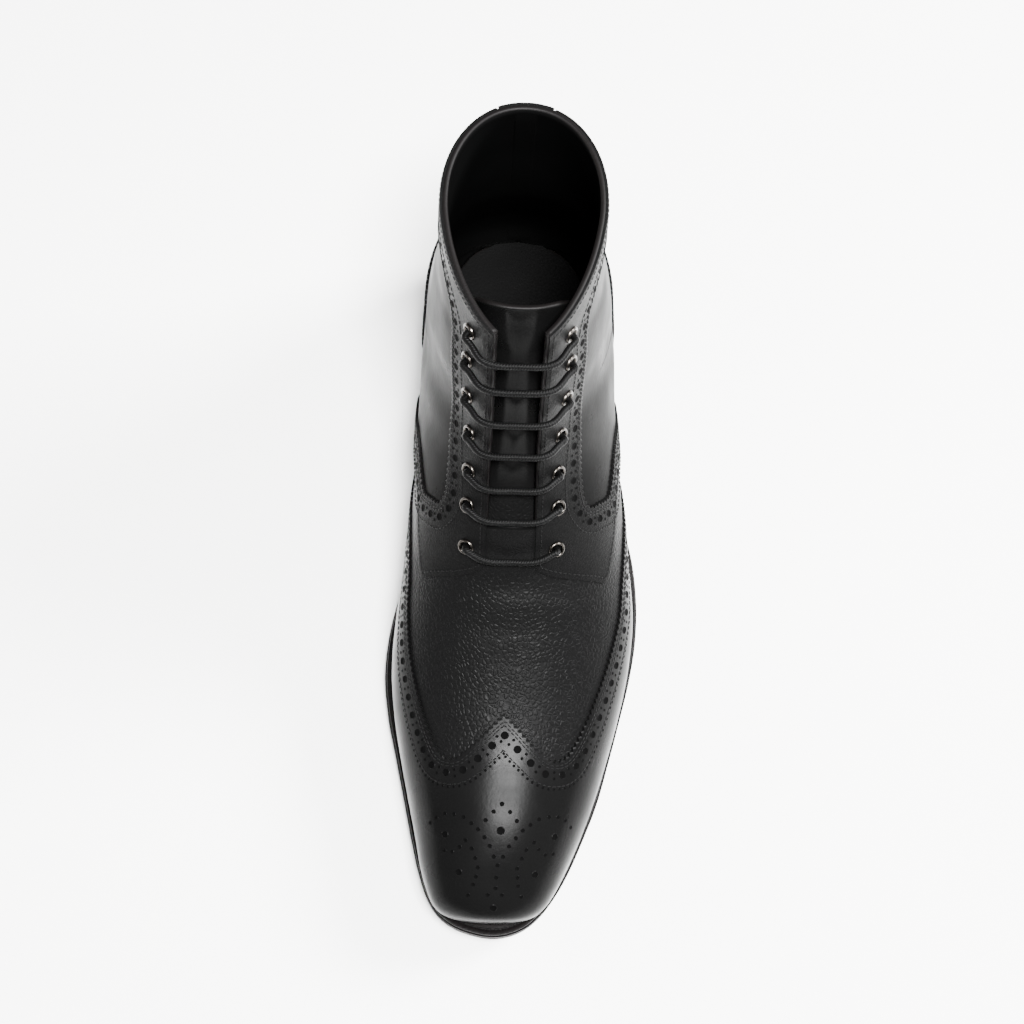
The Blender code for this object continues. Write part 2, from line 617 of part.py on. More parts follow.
def build_frames(skin, form, under):
    """Facing with collar band and front band, one on each side of the foot."""
    knots = np.arange(len(FRAME_BAND), dtype=float)
    steps = np.linspace(0, knots[-1], 45)
    band = smooth(knots, FRAME_BAND, steps)
    band[:, 1] = np.minimum(band[:, 1], throat_angle(band[:, 0], THROAT_GAP))
    band[:, 0] = np.minimum(band[:, 0], COLLAR)
    share = np.linspace(0, 1, 3)[:, None]
    rows = band[None, :, 0] + (band[None, :, 2] - band[None, :, 0]) * share
    turn = band[None, :, 1] + (band[None, :, 3] - band[None, :, 1]) * share
    for name, side in (("facing_outer", turn), ("facing_inner", 180 - turn)):
        overlay(name, rows, side, (skin, form, under), (0.018, 0.018, 0.018))


def build_tongue():
    """Tongue from under the vamp to the collar, lying inside the facings."""
    stations = np.concatenate([[TONGUE_DROP[0, 0]], np.arange(12, COLLAR + 1)])
    turn = 90 + TONGUE_ANGLE * np.linspace(-1, 1, 9)
    outer = tongue_points(stations[:, None], turn[None, :])
    inner = tongue_points(stations[:, None], turn[None, :], -TONGUE_THICK)
    thick_sheet("tongue", outer, inner, (0.014, 0.014, 0.014))


def surface_frame(station, angle, lift):
    """Point of the lifted surface with its normal and two directions along it."""
    point = shell(station, angle, lift)
    up = shell(station + 0.05, angle, lift) - shell(station - 0.05, angle, lift)
    around = shell(station, angle + 1.0, lift) - shell(station, angle - 1.0, lift)
    normal = np.cross(around, up)
    normal /= np.linalg.norm(normal)
    around /= np.linalg.norm(around)
    if np.dot(normal, point - shell(station, angle, 0.0)) < 0:
        normal = -normal
    return point, normal, around, np.cross(normal, around)


def lace_path(ends, edges, toeward):
    """Points of one bar: up out of an eyelet, over both facing edges and down into the other."""
    middle = (edges[0][0] + edges[1][0]) / 2 + toeward * LACE_SAG
    out = (edges[0][1] + edges[1][1]) / 2
    rise = EYELET_THICK + 2 * GAP + LACE_RADIUS
    points = []
    for end, edge in zip(ends, edges):
        near = end[0] + (edge[0] - end[0]) * 0.35
        over = end[0] + (edge[0] - end[0]) * 0.75 + toeward * LACE_SAG * 0.55
        side = [end[0] + end[1] * GAP, end[0] + end[1] * rise, near + end[1] * rise * 1.6,
                over + (end[1] + edge[1]) / 2 * rise * 1.8]
        points.append(side)
    points = points[0] + [middle + out * rise * 1.4] + points[1][::-1]
    return np.array(points)


def build_lacing():
    """Eyelets on both facings and seven straight bars of lace between them."""
    seat = OVERLAY + 2 * GAP
    for number, (station, angle) in enumerate(EYELETS, start=1):
        ends = []
        edges = []
        rim = float(throat_angle(np.array(station), THROAT_GAP))
        for side, turn, brink in (("outer", angle, rim), ("inner", 180 - angle, 180 - rim)):
            centre, normal, around, along = surface_frame(station, turn, seat)
            ends.append((centre, normal))
            edges.append(surface_frame(station, brink, seat)[:2])
            spin = np.arange(8) * 2 * math.pi / 8
            spoke = np.cos(spin)[:, None] * around + np.sin(spin)[:, None] * along
            loops = [centre + spoke * EYELET_RADIUS, centre + spoke * EYELET_RADIUS * 0.86 + normal * EYELET_THICK,
                     centre + spoke * EYELET_HOLE + normal * EYELET_THICK, centre + spoke * EYELET_HOLE]
            faces = grid_faces(4, 8, 0, True)
            faces += [(24 + j, 24 + (j + 1) % 8, (j + 1) % 8, j) for j in range(8)]
            solid("eyelet_%s_%d" % (side, number), np.concatenate(loops), faces, (0.05, 0.048, 0.045), 0.3, 1.0)
        slope = shell(station - 0.2, 90.0) - shell(station, 90.0)
        path = lace_path(ends, edges, slope / np.linalg.norm(slope))
        knots = np.arange(len(path), dtype=float)
        line = smooth(knots, path, np.linspace(0, knots[-1], 11))
        step = np.gradient(line, axis=0)
        step /= np.linalg.norm(step, axis=1)[:, None]
        flat = np.cross(step, np.array([0, 1.0, 0.4]))
        flat /= np.linalg.norm(flat, axis=1)[:, None]
        other = np.cross(step, flat)
        spin = np.arange(6) * 2 * math.pi / 6
        ring = np.cos(spin)[None, :, None] * flat[:, None] + np.sin(spin)[None, :, None] * other[:, None]
        points = line[:, None] + ring * LACE_RADIUS
        faces = grid_faces(len(line), 6, 0, True)
        faces += [tuple(range(6)), tuple((len(line) - 1) * 6 + j for j in range(6))]
        solid("lace_bar_%d" % number, points, faces, (0.01, 0.01, 0.01), 0.5)


def main():
    for obj in list(bpy.data.objects):
        bpy.data.objects.remove(obj)
    build_sole()
    build_upper()
    build_tongue()
    build_lacing()


main()
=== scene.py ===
"""Looks of the left wingtip ankle boot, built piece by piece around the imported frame.

Metres, +Z up, toe towards -Y, outer side of the foot towards +X. "along" is the distance from the
back of the heel towards the toe. A place on the upper is a station, from 0 at the toe to 25 at the
collar, and an angle around it: 0 outer side, 90 ridge, 180 inner side, -90 lowest or backmost.
"""
import math

import bmesh
import bpy
import numpy as np
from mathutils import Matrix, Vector


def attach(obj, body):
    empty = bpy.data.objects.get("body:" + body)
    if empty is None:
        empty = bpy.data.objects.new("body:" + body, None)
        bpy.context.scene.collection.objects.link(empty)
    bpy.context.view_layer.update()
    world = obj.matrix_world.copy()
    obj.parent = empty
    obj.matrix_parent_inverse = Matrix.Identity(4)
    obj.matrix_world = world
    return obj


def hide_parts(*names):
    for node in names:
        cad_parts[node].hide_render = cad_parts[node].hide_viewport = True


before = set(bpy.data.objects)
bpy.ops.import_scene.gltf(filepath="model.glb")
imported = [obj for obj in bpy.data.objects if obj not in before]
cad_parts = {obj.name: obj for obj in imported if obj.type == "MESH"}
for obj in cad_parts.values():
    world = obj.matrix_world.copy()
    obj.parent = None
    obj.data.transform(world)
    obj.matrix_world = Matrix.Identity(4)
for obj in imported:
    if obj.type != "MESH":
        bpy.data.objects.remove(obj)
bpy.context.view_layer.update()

# Outsole. One moulded rubber sheet under the whole foot, glued below the midsole and ground flush
# with it. Its tread is a set of round studs that stand in round recesses.
SOLE_LENGTH = 0.300
BALL_WIDTH = 0.105
HEEL_RISE = 0.0170
TOE_SPRING = 0.010
STUD_HEIGHT = 0.0015
OUTSOLE_THICK = 0.0046
GAP = 0.0003
# Underside of the sole: along (share of the length), shares of the heel rise and toe spring
GROUND = np.array([
    (0.00, 1.27, 0.00), (0.13, 1.14, 0.00), (0.28, 1.00, 0.00), (0.367, 0.70, 0.00), (0.467, 0.29, 0.00),
    (0.55, 0.06, 0.00), (0.61, 0.00, 0.00), (0.775, 0.00, 0.00), (0.885, 0.00, 0.30), (1.00, 0.00, 1.00),
])
# Outline of the sole: along, inner side and outer side, as shares of the length and ball width
OUTLINE = np.array([
    (0.000, -0.013, -0.013), (0.008, -0.165, 0.140), (0.030, -0.265, 0.240), (0.065, -0.322, 0.303),
    (0.130, -0.352, 0.338), (0.200, -0.350, 0.345), (0.275, -0.328, 0.350), (0.343, -0.315, 0.372),
    (0.408, -0.335, 0.420), (0.474, -0.392, 0.476), (0.539, -0.456, 0.498), (0.590, -0.486, 0.494),
    (0.645, -0.496, 0.470), (0.700, -0.478, 0.434), (0.755, -0.443, 0.395), (0.818, -0.402, 0.346),
    (0.868, -0.370, 0.292), (0.912, -0.338, 0.238), (0.950, -0.298, 0.176), (0.975, -0.247, 0.118),
    (0.990, -0.180, 0.062), (0.997, -0.115, 0.012), (1.000, -0.048, -0.048),
])
# Studs: along and side, as shares of the length and ball width
STUDS = np.array([
    (0.52, -0.20), (0.52, 0.24), (0.625, -0.24), (0.625, 0.23), (0.725, -0.23), (0.725, 0.19),
    (0.825, -0.20), (0.825, 0.14), (0.915, -0.04),
])
STUD_RADIUS = 0.0042
RECESS_RADIUS = 0.0074
RECESS_DEPTH = 0.0018


def to_linear(code):
    """An sRGB hex colour as linear light: each channel undoes the sRGB curve."""
    channel = np.array([int(code[i:i + 2], 16) for i in (1, 3, 5)]) / 255
    light = np.where(channel <= 0.04045, channel / 12.92, ((channel + 0.055) / 1.055) ** 2.4)
    return (*light.tolist(), 1.0)


def add_node(tree, kind, inputs, **settings):
    """Add one node with its settings; an input is a value, or a socket that is linked to it."""
    node = tree.nodes.new(kind)
    for key, value in settings.items():
        setattr(node, key, value)
    for key, value in inputs.items():
        if isinstance(value, bpy.types.NodeSocket):
            tree.links.new(value, node.inputs[key])
        else:
            node.inputs[key].default_value = value
    return node


def new_finish(name, colour, roughness, **sockets):
    """A material whose shader has the given colour, roughness and other constant sockets."""
    material = bpy.data.materials.new(name)
    material.use_nodes = True
    shader = material.node_tree.nodes["Principled BSDF"]
    shader.inputs["Base Color"].default_value = to_linear(colour)
    shader.inputs["Roughness"].default_value = roughness
    for key, value in sockets.items():
        shader.inputs[key.replace("_", " ")].default_value = value
    return material


def roughen(material, grain, depth, spread=0.0, detail=3.0):
    """Noise of a grain size as bump of a depth, with the roughness spread around its value."""
    tree = material.node_tree
    shader = tree.nodes["Principled BSDF"]
    place = add_node(tree, "ShaderNodeTexCoord", {})
    noise = add_node(tree, "ShaderNodeTexNoise",
                     {"Vector": place.outputs["Object"], "Scale": 1 / grain, "Detail": detail})
    bump = add_node(tree, "ShaderNodeBump",
                    {"Height": noise.outputs["Fac"], "Distance": depth, "Strength": 1.0})
    tree.links.new(bump.outputs["Normal"], shader.inputs["Normal"])
    if spread:
        wide = add_node(tree, "ShaderNodeTexNoise",
                        {"Vector": place.outputs["Object"], "Scale": 55.0, "Detail": 4.0})
        middle = shader.inputs["Roughness"].default_value
        span = add_node(tree, "ShaderNodeMapRange",
                        {"Value": wide.outputs["Fac"], "From Min": 0.3, "From Max": 0.7,
                         "To Min": middle - spread, "To Max": middle + spread})
        tree.links.new(span.outputs["Result"], shader.inputs["Roughness"])
    return bump


def smooth(knots, values, where):
    """Cubic curve through the values at the knots, with slopes weighed from both neighbours."""
    where = np.clip(np.asarray(where, float), knots[0], knots[-1])
    step = np.diff(knots)
    slope = np.diff(values, axis=0) / step[:, None]
    tangent = np.empty_like(values)
    weight = step[:, None]
    tangent[1:-1] = (slope[:-1] * weight[1:] + slope[1:] * weight[:-1]) / (weight[1:] + weight[:-1])
    tangent[0] = 1.5 * slope[0] - 0.5 * tangent[1]
    tangent[-1] = 1.5 * slope[-1] - 0.5 * tangent[-2]
    i = np.clip(np.searchsorted(knots, where, side="right") - 1, 0, len(knots) - 2)
    h = step[i][..., None]
    u = ((where - knots[i]) / step[i])[..., None]
    start = (2 * u**3 - 3 * u**2 + 1) * values[i] + (u**3 - 2 * u**2 + u) * h * tangent[i]
    return start + (3 * u**2 - 2 * u**3) * values[i + 1] + (u**3 - u**2) * h * tangent[i + 1]


def ground(along):
    """Height of the outsole's underside: heel rise and toe spring, each times its curve of shares."""
    shares = smooth(GROUND[:, 0] * SOLE_LENGTH, GROUND[:, 1:], along)
    return STUD_HEIGHT + HEEL_RISE * shares[..., 0] + TOE_SPRING * shares[..., 1]


def outline(along, inset):
    """Inner and outer edge of the sole, both drawn towards its middle line by an inset."""
    turn = np.arccos(1 - 2 * np.clip(along / SOLE_LENGTH, 0, 1))
    edges = smooth(np.arccos(1 - 2 * OUTLINE[:, 0]), OUTLINE[:, 1:] * BALL_WIDTH, turn)
    middle = edges.mean(axis=-1)
    shrink = 1 - inset / (0.45 * BALL_WIDTH)
    return middle + (edges[..., 0] - middle) * shrink, middle + (edges[..., 1] - middle) * shrink


def sole_loop(distances, inset, rise):
    """Loop around the sole: out along the outer side to the toe and back, a rise above the ground."""
    along = inset + distances / SOLE_LENGTH * (SOLE_LENGTH - 2 * inset)
    inner, outer = outline(distances, inset)
    up = ground(along) + rise
    right = np.stack([outer, SOLE_LENGTH / 2 - along, up], axis=-1)
    left = np.stack([inner, SOLE_LENGTH / 2 - along, up], axis=-1)
    return np.concatenate([right, left[-2:0:-1]])


def grid_quads(rows, columns, around=False, start=0):
    """Quads between the rows of a grid of points, closed around its columns where asked."""
    i = np.arange(rows - 1)[:, None] * columns + start
    j = np.arange(columns if around else columns - 1)[None, :]
    k = (j + 1) % columns
    return np.stack([i + j, i + k, i + columns + k, i + columns + j], axis=-1).reshape(-1, 4)


def add_piece(name, points, faces, finishes, slots=None, facing=None, weld=2e-6, sharp=40):
    """A mesh object. With no facing its normals are worked out as those of a closed form.

    Facing is an outward vector for each point: the faces are turned to agree with it."""
    points = np.asarray(points, float).reshape(-1, 3)
    if facing is not None:
        quads = np.array([(f[0], f[1], f[2], f[-1]) for f in faces])
        across = points[quads[:, 2]] - points[quads[:, 0]]
        over = points[quads[:, 3]] - points[quads[:, 1]]
        if np.sum(np.cross(across, over) * np.asarray(facing).reshape(-1, 3)[quads[:, 0]]) < 0:
            faces = [tuple(f)[::-1] for f in faces]
    mesh = bpy.data.meshes.new(name)
    mesh.from_pydata(points.tolist(), [], [tuple(int(i) for i in f) for f in faces])
    for finish in finishes:
        mesh.materials.append(finish)
    if slots is not None:
        mesh.polygons.foreach_set("material_index", np.asarray(slots, np.int32))
    shape = bmesh.new()
    shape.from_mesh(mesh)
    bmesh.ops.remove_doubles(shape, verts=shape.verts, dist=weld)
    if facing is None:
        bmesh.ops.recalc_face_normals(shape, faces=shape.faces)
    shape.to_mesh(mesh)
    shape.free()
    mesh.shade_smooth()
    mesh.set_sharp_from_angle(angle=math.radians(sharp))
    piece = bpy.data.objects.new(name, mesh)
    bpy.context.scene.collection.objects.link(piece)
    return piece


def settle(piece, slot, *nodes):
    """Say what a piece rides on and which solids it stands for; its slot argument is not used."""
    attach(piece, "root")
    if nodes:
        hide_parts(*nodes)
    return piece


def layer_shape(distances, profile, ring=False):
    """Points and faces of a sole layer: a profile (inset, rise) carried around the outline."""
    loops = np.array([sole_loop(distances, inset, rise) for inset, rise in profile])
    count = loops.shape[1]
    if ring:
        loops = np.concatenate([loops, loops[:1]])
    faces = grid_quads(len(loops), count, True).tolist()
    if not ring:
        for start in (0, (len(profile) - 1) * count):
            for k in range(len(distances) - 1):
                rung = (k, k + 1, (count - k - 1) % count, (count - k) % count)
                faces.append(tuple(start + i for i in dict.fromkeys(rung)))
    return loops, faces


def turned(profile, centres, east, north, up, sides):
    """A profile (radius, height) turned about an axis at each centre: points by centre, ring and side."""
    spin = np.arange(sides) * 2 * math.pi / sides
    circle = np.cos(spin)[None, :, None] * east[:, None] + np.sin(spin)[None, :, None] * north[:, None]
    ring = profile[None, :, None, None, 0] * circle[:, None]
    return centres[:, None, None] + ring + profile[None, :, None, None, 1] * up[:, None, None]


def copies(shape, rings, sides, around=True):
    """Faces of many turned shapes that lie one after another in one list of points."""
    one = grid_quads(rings, sides, around)
    return (one[None] + (np.arange(shape)[:, None, None] * rings * sides)).reshape(-1, 4)


def carve(piece, tool, operation):
    """Cut a tool out of a piece, or join it on, and keep the result as the piece's own mesh."""
    modifier = piece.modifiers.new("carve", "BOOLEAN")
    modifier.operation = operation
    modifier.solver = "EXACT"
    modifier.object = tool
    result = bpy.data.meshes.new_from_object(piece.evaluated_get(bpy.context.evaluated_depsgraph_get()))
    piece.modifiers.clear()
    piece.data = result
    bpy.data.objects.remove(tool)


# Vulcanised rubber, moulded: matt, a little dusty grey at a glance
rubber = new_finish("rubber_moulded", "#0b0b0b", 0.6, IOR=1.2)
roughen(rubber, 0.0009, 0.00006, 0.08)
fine = SOLE_LENGTH * (1 - np.cos(np.linspace(0, math.pi, 181))) / 2
outsole_profile = [(0.0030, 0.0), (0.0012, 0.0001), (0.0004, 0.0005), (0.0, 0.0012), (0.0, 0.0024),
                   (0.0, OUTSOLE_THICK - 0.0004), (0.0004, OUTSOLE_THICK)]
outsole = add_piece("outsole_tread", *layer_shape(fine, outsole_profile), [rubber], sharp=50)
spots = np.column_stack([STUDS[:, 1] * BALL_WIDTH, SOLE_LENGTH * (0.5 - STUDS[:, 0]),
                         ground(STUDS[:, 0] * SOLE_LENGTH)])
side_x = np.tile([1.0, 0.0, 0.0], (len(spots), 1))
side_y = np.tile([0.0, 1.0, 0.0], (len(spots), 1))
side_z = np.tile([0.0, 0.0, 1.0], (len(spots), 1))
recess = np.array([(STUD_RADIUS + 0.0003, -0.004), (RECESS_RADIUS, -0.004), (RECESS_RADIUS, RECESS_DEPTH),
                   (STUD_RADIUS + 0.0003, RECESS_DEPTH), (STUD_RADIUS + 0.0003, -0.004)])
recess_tool = add_piece("recess_tool", turned(recess, spots, side_x, side_y, side_z, 32),
                        copies(len(spots), len(recess), 32), [rubber])
carve(outsole, recess_tool, "DIFFERENCE")
stud = np.array([(0.0, -STUD_HEIGHT), (STUD_RADIUS - 0.0006, -STUD_HEIGHT),
                 (STUD_RADIUS, -STUD_HEIGHT + 0.0005), (STUD_RADIUS, RECESS_DEPTH + 0.0006),
                 (0.0, RECESS_DEPTH + 0.0006)])
stud_tool = add_piece("stud_tool", turned(stud, spots, side_x, side_y, side_z, 32),
                      copies(len(spots), len(stud), 32), [rubber])
carve(outsole, stud_tool, "UNION")
settle(outsole, "tread_rubber", "outsole")

# Midsole. A 3 mm leather layer between outsole and welt, with the cork filler inside the welt.
# Its edge is trimmed with the outsole's, inked black and waxed.
MIDSOLE_THICK = 0.0030
WELT_WIDTH = 0.012
WELT_THICK = 0.0028
SOLE_STACK = OUTSOLE_THICK + MIDSOLE_THICK + WELT_THICK + 2 * GAP
midsole_low = OUTSOLE_THICK + GAP
midsole_high = midsole_low + MIDSOLE_THICK
# Veg-tanned leather edge, sanded, inked and burnished: satin black with faint lengthwise streaks
inked_edge = new_finish("leather_edge_inked", "#070606", 0.38, IOR=1.085)
roughen(inked_edge, 0.0012, 0.00005, 0.06)
midsole_profile = [(0.0006, midsole_low), (0.0001, midsole_low + 0.0004), (0.0, midsole_low + 0.0015),
                   (0.0002, midsole_high - 0.0004), (0.0006, midsole_high), (WELT_WIDTH + GAP, midsole_high),
                   (WELT_WIDTH + GAP, SOLE_STACK)]
midsole = add_piece("midsole_edge", *layer_shape(fine, midsole_profile), [inked_edge])
settle(midsole, "edge_leather", "midsole")

# Welt. A narrow leather strip sewn to the upper and to the midsole all around, its top edge
# wheeled with fine notches and its lockstitch in waxed thread showing beside the upper.
WELT_INSET = 0.0008
NOTCH_PITCH = 0.0023
NOTCH_DEPTH = 0.00012
finest = SOLE_LENGTH * (1 - np.cos(np.linspace(0, math.pi, 801))) / 2
welt_low = midsole_high + GAP
welt_profile = [(WELT_INSET + 0.0002, welt_low), (WELT_INSET, welt_low + 0.0004),
                (WELT_INSET, SOLE_STACK - 0.0006), (WELT_INSET + 0.0003, SOLE_STACK - 0.0001),
                (WELT_INSET + 0.0008, SOLE_STACK),
                (WELT_INSET + 0.0016, SOLE_STACK), (WELT_INSET + 0.0018, SOLE_STACK - 0.0001),
                (WELT_INSET + 0.0021, SOLE_STACK - 0.0001), (WELT_INSET + 0.0024, SOLE_STACK),
                (WELT_WIDTH, SOLE_STACK), (WELT_WIDTH, welt_low)]
welt_points, welt_faces = layer_shape(finest, welt_profile, ring=True)
reach = np.cumsum(np.linalg.norm(np.diff(welt_points[2], axis=0, append=welt_points[2][:1]), axis=1))
pitch = reach[-1] / round(reach[-1] / NOTCH_PITCH)
notch = NOTCH_DEPTH * np.clip(np.cos(2 * math.pi * reach / pitch) * 2 - 1, 0, 1)
welt_points[3:6, :, 2] -= notch
welt = add_piece("welt_strip", welt_points, welt_faces, [inked_edge])
settle(welt, "edge_leather", "welt")

# Bonded nylon thread, waxed and black: tight round stitches with a dull shine
thread = new_finish("thread_waxed", "#0a0a0a", 0.5, IOR=1.12)
STITCH_LENGTH = 0.0017
STITCH_WIDTH = 0.00052
# One stitch: place along it and radius, as shares of its length and width
STITCH_FORM = np.array([(-0.5, 0.10), (-0.36, 0.42), (0.0, 0.50), (0.36, 0.42), (0.5, 0.10)])


def sew(name, places, run, up, length=STITCH_LENGTH, width=STITCH_WIDTH):
    """Stitches as slim beads that lie half sunk at the given places, along the given directions."""
    run = run / np.linalg.norm(run, axis=1)[:, None]
    side = np.cross(up, run)
    spin = np.arange(6) * math.pi / 3
    ring = np.cos(spin)[None, :, None] * side[:, None] + np.sin(spin)[None, :, None] * up[:, None]
    beads = (places[:, None, None] + STITCH_FORM[None, :, None, None, 0] * length * run[:, None, None]
             + STITCH_FORM[None, :, None, None, 1] * width * ring[:, None])
    return add_piece(name, beads, copies(len(places), len(STITCH_FORM), 6), [thread], weld=0.0, sharp=80)


WELT_SEAM = 0.0031
WELT_STITCH = 0.0031
seam_loop = sole_loop(finest, WELT_SEAM, SOLE_STACK + 0.00005)
seam_reach = np.concatenate([[0], np.cumsum(np.linalg.norm(np.diff(seam_loop, axis=0), axis=1))])
seam_at = np.arange(0, seam_reach[-1], WELT_STITCH)
seam_places = np.stack([np.interp(seam_at, seam_reach, seam_loop[:, i]) for i in range(3)], axis=1)
seam_run = np.gradient(seam_places, axis=0)
seam_up = np.tile([0.0, 0.0, 1.0], (len(seam_places), 1))
settle(sew("welt_seam", seam_places, seam_run, seam_up, 0.0025, 0.0008), "edge_leather")

# Heel. Two stacked leather lifts over a rubber top lift, pressed, nailed and ground to the outline
# of the seat, with a hollow breast that faces the waist.
HEEL_LENGTH = 0.084
HEEL_HOLLOW = 0.0035
LIFT_HEIGHT = 0.0102
LIFT_TAPER = 0.0012
PIT_RADIUS = 0.0045
PITS = np.array([(0.045, -0.01), (0.10, -0.20), (0.10, 0.18), (0.19, -0.20), (0.19, 0.19)])


def heel_loop(inset, height):
    """Loop around the heel: back along both sides from the breast, which is an arc of the heel's length."""
    distances = HEEL_LENGTH * (1 - np.cos(np.linspace(0, math.pi / 2, 60)))
    inner, outer = outline(distances, inset)
    along = inset * (1 - distances / HEEL_LENGTH) + distances
    side = np.linspace(outer[-1], inner[-1], 34)[1:-1]
    breast = HEEL_LENGTH - HEEL_HOLLOW + HEEL_LENGTH - np.sqrt(HEEL_LENGTH**2 - side**2)
    flat = np.concatenate([
        np.column_stack([outer, along]),
        np.column_stack([side, np.minimum(breast, HEEL_LENGTH)]),
        np.column_stack([inner[:0:-1], along[:0:-1]]),
    ])
    return np.column_stack([flat[:, 0], SOLE_LENGTH / 2 - flat[:, 1], height(flat[:, 1])])


def heel_stack(name, levels, finish):
    """A closed stack of heel loops, each with its inset and its height as a function of along."""
    loops = np.array([heel_loop(inset, height) for inset, height in levels])
    count = loops.shape[1]
    faces = grid_quads(len(loops), count, True).tolist()
    faces += [tuple(range(count)), tuple(range((len(loops) - 1) * count, len(loops) * count))]
    return add_piece(name, loops, faces, [finish], sharp=50)


def between(share):
    """Height in the heel base: a share of the way from the top lift to the outsole."""
    low = LIFT_HEIGHT + GAP
    return lambda along: low + (ground(along) - GAP - low) * share


GROOVE = 0.00035
base_levels = []
for low, high in ((0.0, 0.30), (0.30, 0.66), (0.66, 1.0)):
    taper = LIFT_TAPER / 2 * (1 - np.array([low, high]))
    base_levels += [(taper[0] + GROOVE, between(low)), (taper[0], between(low + 0.035)),
                    (taper[1], between(high - 0.035)), (taper[1] + GROOVE, between(high))]
settle(heel_stack("heel_lifts", base_levels, inked_edge), "edge_leather", "heel_base")
lift_levels = []
for share, inset in ((0.0, 0.0007), (0.06, 0.0), (0.47, 0.0), (0.5, GROOVE), (0.53, 0.0), (0.97, 0.0),
                     (1.0, GROOVE)):
    taper = LIFT_TAPER * (1 - share / 2)
    lift_levels.append((taper + inset, lambda along, h=LIFT_HEIGHT * share: along * 0 + h))
top_lift = heel_stack("top_lift_rubber", lift_levels, rubber)
pit_spots = np.column_stack([PITS[:, 1] * BALL_WIDTH, SOLE_LENGTH * (0.5 - PITS[:, 0]), PITS[:, 0] * 0])
pit = np.array([(0.0, -0.002), (PIT_RADIUS, -0.002), (PIT_RADIUS, RECESS_DEPTH), (0.0, RECESS_DEPTH)])
pit_tool = add_piece("pit_tool", turned(pit, pit_spots, side_x[:5], side_y[:5], side_z[:5], 28),
                     copies(5, 4, 28), [rubber])
carve(top_lift, pit_tool, "DIFFERENCE")
settle(top_lift, "tread_rubber", "top_lift")

# Insole. A bare leather board inside, lasted into the upper, with a smooth black sock glued on.
# Sheepskin lining, smooth side out: soft matt black with a fine pore, made darker than the calf as painted
# shade for the boot's inside
lining = new_finish("lining_leather_painted_shade", "#040404", 0.6, IOR=1.08)
roughen(lining, 0.0009, 0.00012, 0.08)
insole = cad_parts["insole"]
insole.data.materials.clear()
insole.data.materials.append(lining)

# Upper. Vamp and quarters of calf with a leather lining, closed at the back, pulled over a last
# and sewn to the welt. The vamp is pebbled, the windows of the quarters are polished.
SHAFT_HEIGHT = 0.150
WALL = 0.0020
OVERLAY = 0.0012
THROAT_GAP = 0.0096
THROAT_FOOT = 13.3
# Sections from toe to collar: low along and up, top along and up, half width, shift of body and
# ridge, widest place, squareness below and above, lean. Shares of length, shaft height, ball width
SECTIONS = np.array([
    (0.981, 0.049, 0.981, 0.056, 0.001, -0.056, -0.056, 0.50, 2.20, 2.20, 1.00),
    (0.979, 0.007, 0.978, 0.095, 0.087, -0.060, -0.058, 0.50, 2.20, 2.20, 0.95),
    (0.974, -0.022, 0.970, 0.121, 0.152, -0.063, -0.058, 0.46, 2.40, 2.20, 0.80),
    (0.964, -0.044, 0.957, 0.146, 0.196, -0.063, -0.056, 0.44, 2.60, 2.25, 0.55),
    (0.945, -0.060, 0.939, 0.171, 0.229, -0.058, -0.051, 0.42, 2.80, 2.30, 0.33),
    (0.915, -0.065, 0.909, 0.206, 0.265, -0.050, -0.045, 0.39, 3.00, 2.30, 0.20),
    (0.873, -0.063, 0.868, 0.240, 0.303, -0.037, -0.039, 0.36, 3.20, 2.30, 0.10),
    (0.821, -0.062, 0.818, 0.265, 0.346, -0.027, -0.034, 0.33, 3.40, 2.35, 0.05),
    (0.764, -0.063, 0.764, 0.286, 0.387, -0.021, -0.029, 0.31, 3.50, 2.35, 0.00),
    (0.704, -0.063, 0.708, 0.314, 0.424, -0.015, -0.025, 0.30, 3.50, 2.35, 0.00),
    (0.637, -0.063, 0.653, 0.353, 0.449, -0.005, -0.024, 0.30, 3.40, 2.30, 0.00),
    (0.560, -0.057, 0.602, 0.396, 0.450, 0.008, -0.025, 0.33, 3.00, 2.20, 0.00),
    (0.480, -0.052, 0.558, 0.440, 0.429, 0.010, -0.026, 0.36, 2.50, 2.10, 0.00),
    (0.397, -0.056, 0.518, 0.524, 0.409, 0.006, -0.027, 0.38, 2.40, 1.95, 0.00),
    (0.307, -0.069, 0.490, 0.576, 0.394, 0.000, -0.027, 0.39, 2.60, 1.85, 0.00),
    (0.210, -0.067, 0.468, 0.630, 0.383, -0.007, -0.027, 0.40, 2.90, 1.80, 0.00),
    (0.117, -0.061, 0.453, 0.694, 0.373, -0.010, -0.027, 0.41, 2.90, 1.75, 0.00),
    (0.042, -0.052, 0.442, 0.752, 0.362, -0.011, -0.026, 0.42, 2.70, 1.70, 0.00),
    (0.013, 0.047, 0.432, 0.802, 0.352, -0.013, -0.025, 0.43, 2.50, 1.70, 0.00),
    (0.015, 0.161, 0.422, 0.850, 0.343, -0.015, -0.025, 0.44, 2.40, 1.70, 0.00),
    (0.030, 0.283, 0.412, 0.899, 0.330, -0.017, -0.024, 0.43, 2.30, 1.70, 0.00),
    (0.045, 0.395, 0.402, 0.945, 0.316, -0.019, -0.023, 0.42, 2.20, 1.70, 0.00),
    (0.056, 0.493, 0.395, 0.982, 0.302, -0.021, -0.022, 0.41, 2.15, 1.70, 0.00),
    (0.061, 0.621, 0.389, 1.013, 0.290, -0.022, -0.022, 0.41, 2.10, 1.70, 0.00),
    (0.062, 0.781, 0.385, 1.046, 0.282, -0.022, -0.021, 0.41, 2.10, 1.70, 0.00),
    (0.063, 0.981, 0.382, 1.078, 0.277, -0.022, -0.021, 0.40, 2.10, 1.70, 0.00),
])
COLLAR = len(SECTIONS) - 1.0
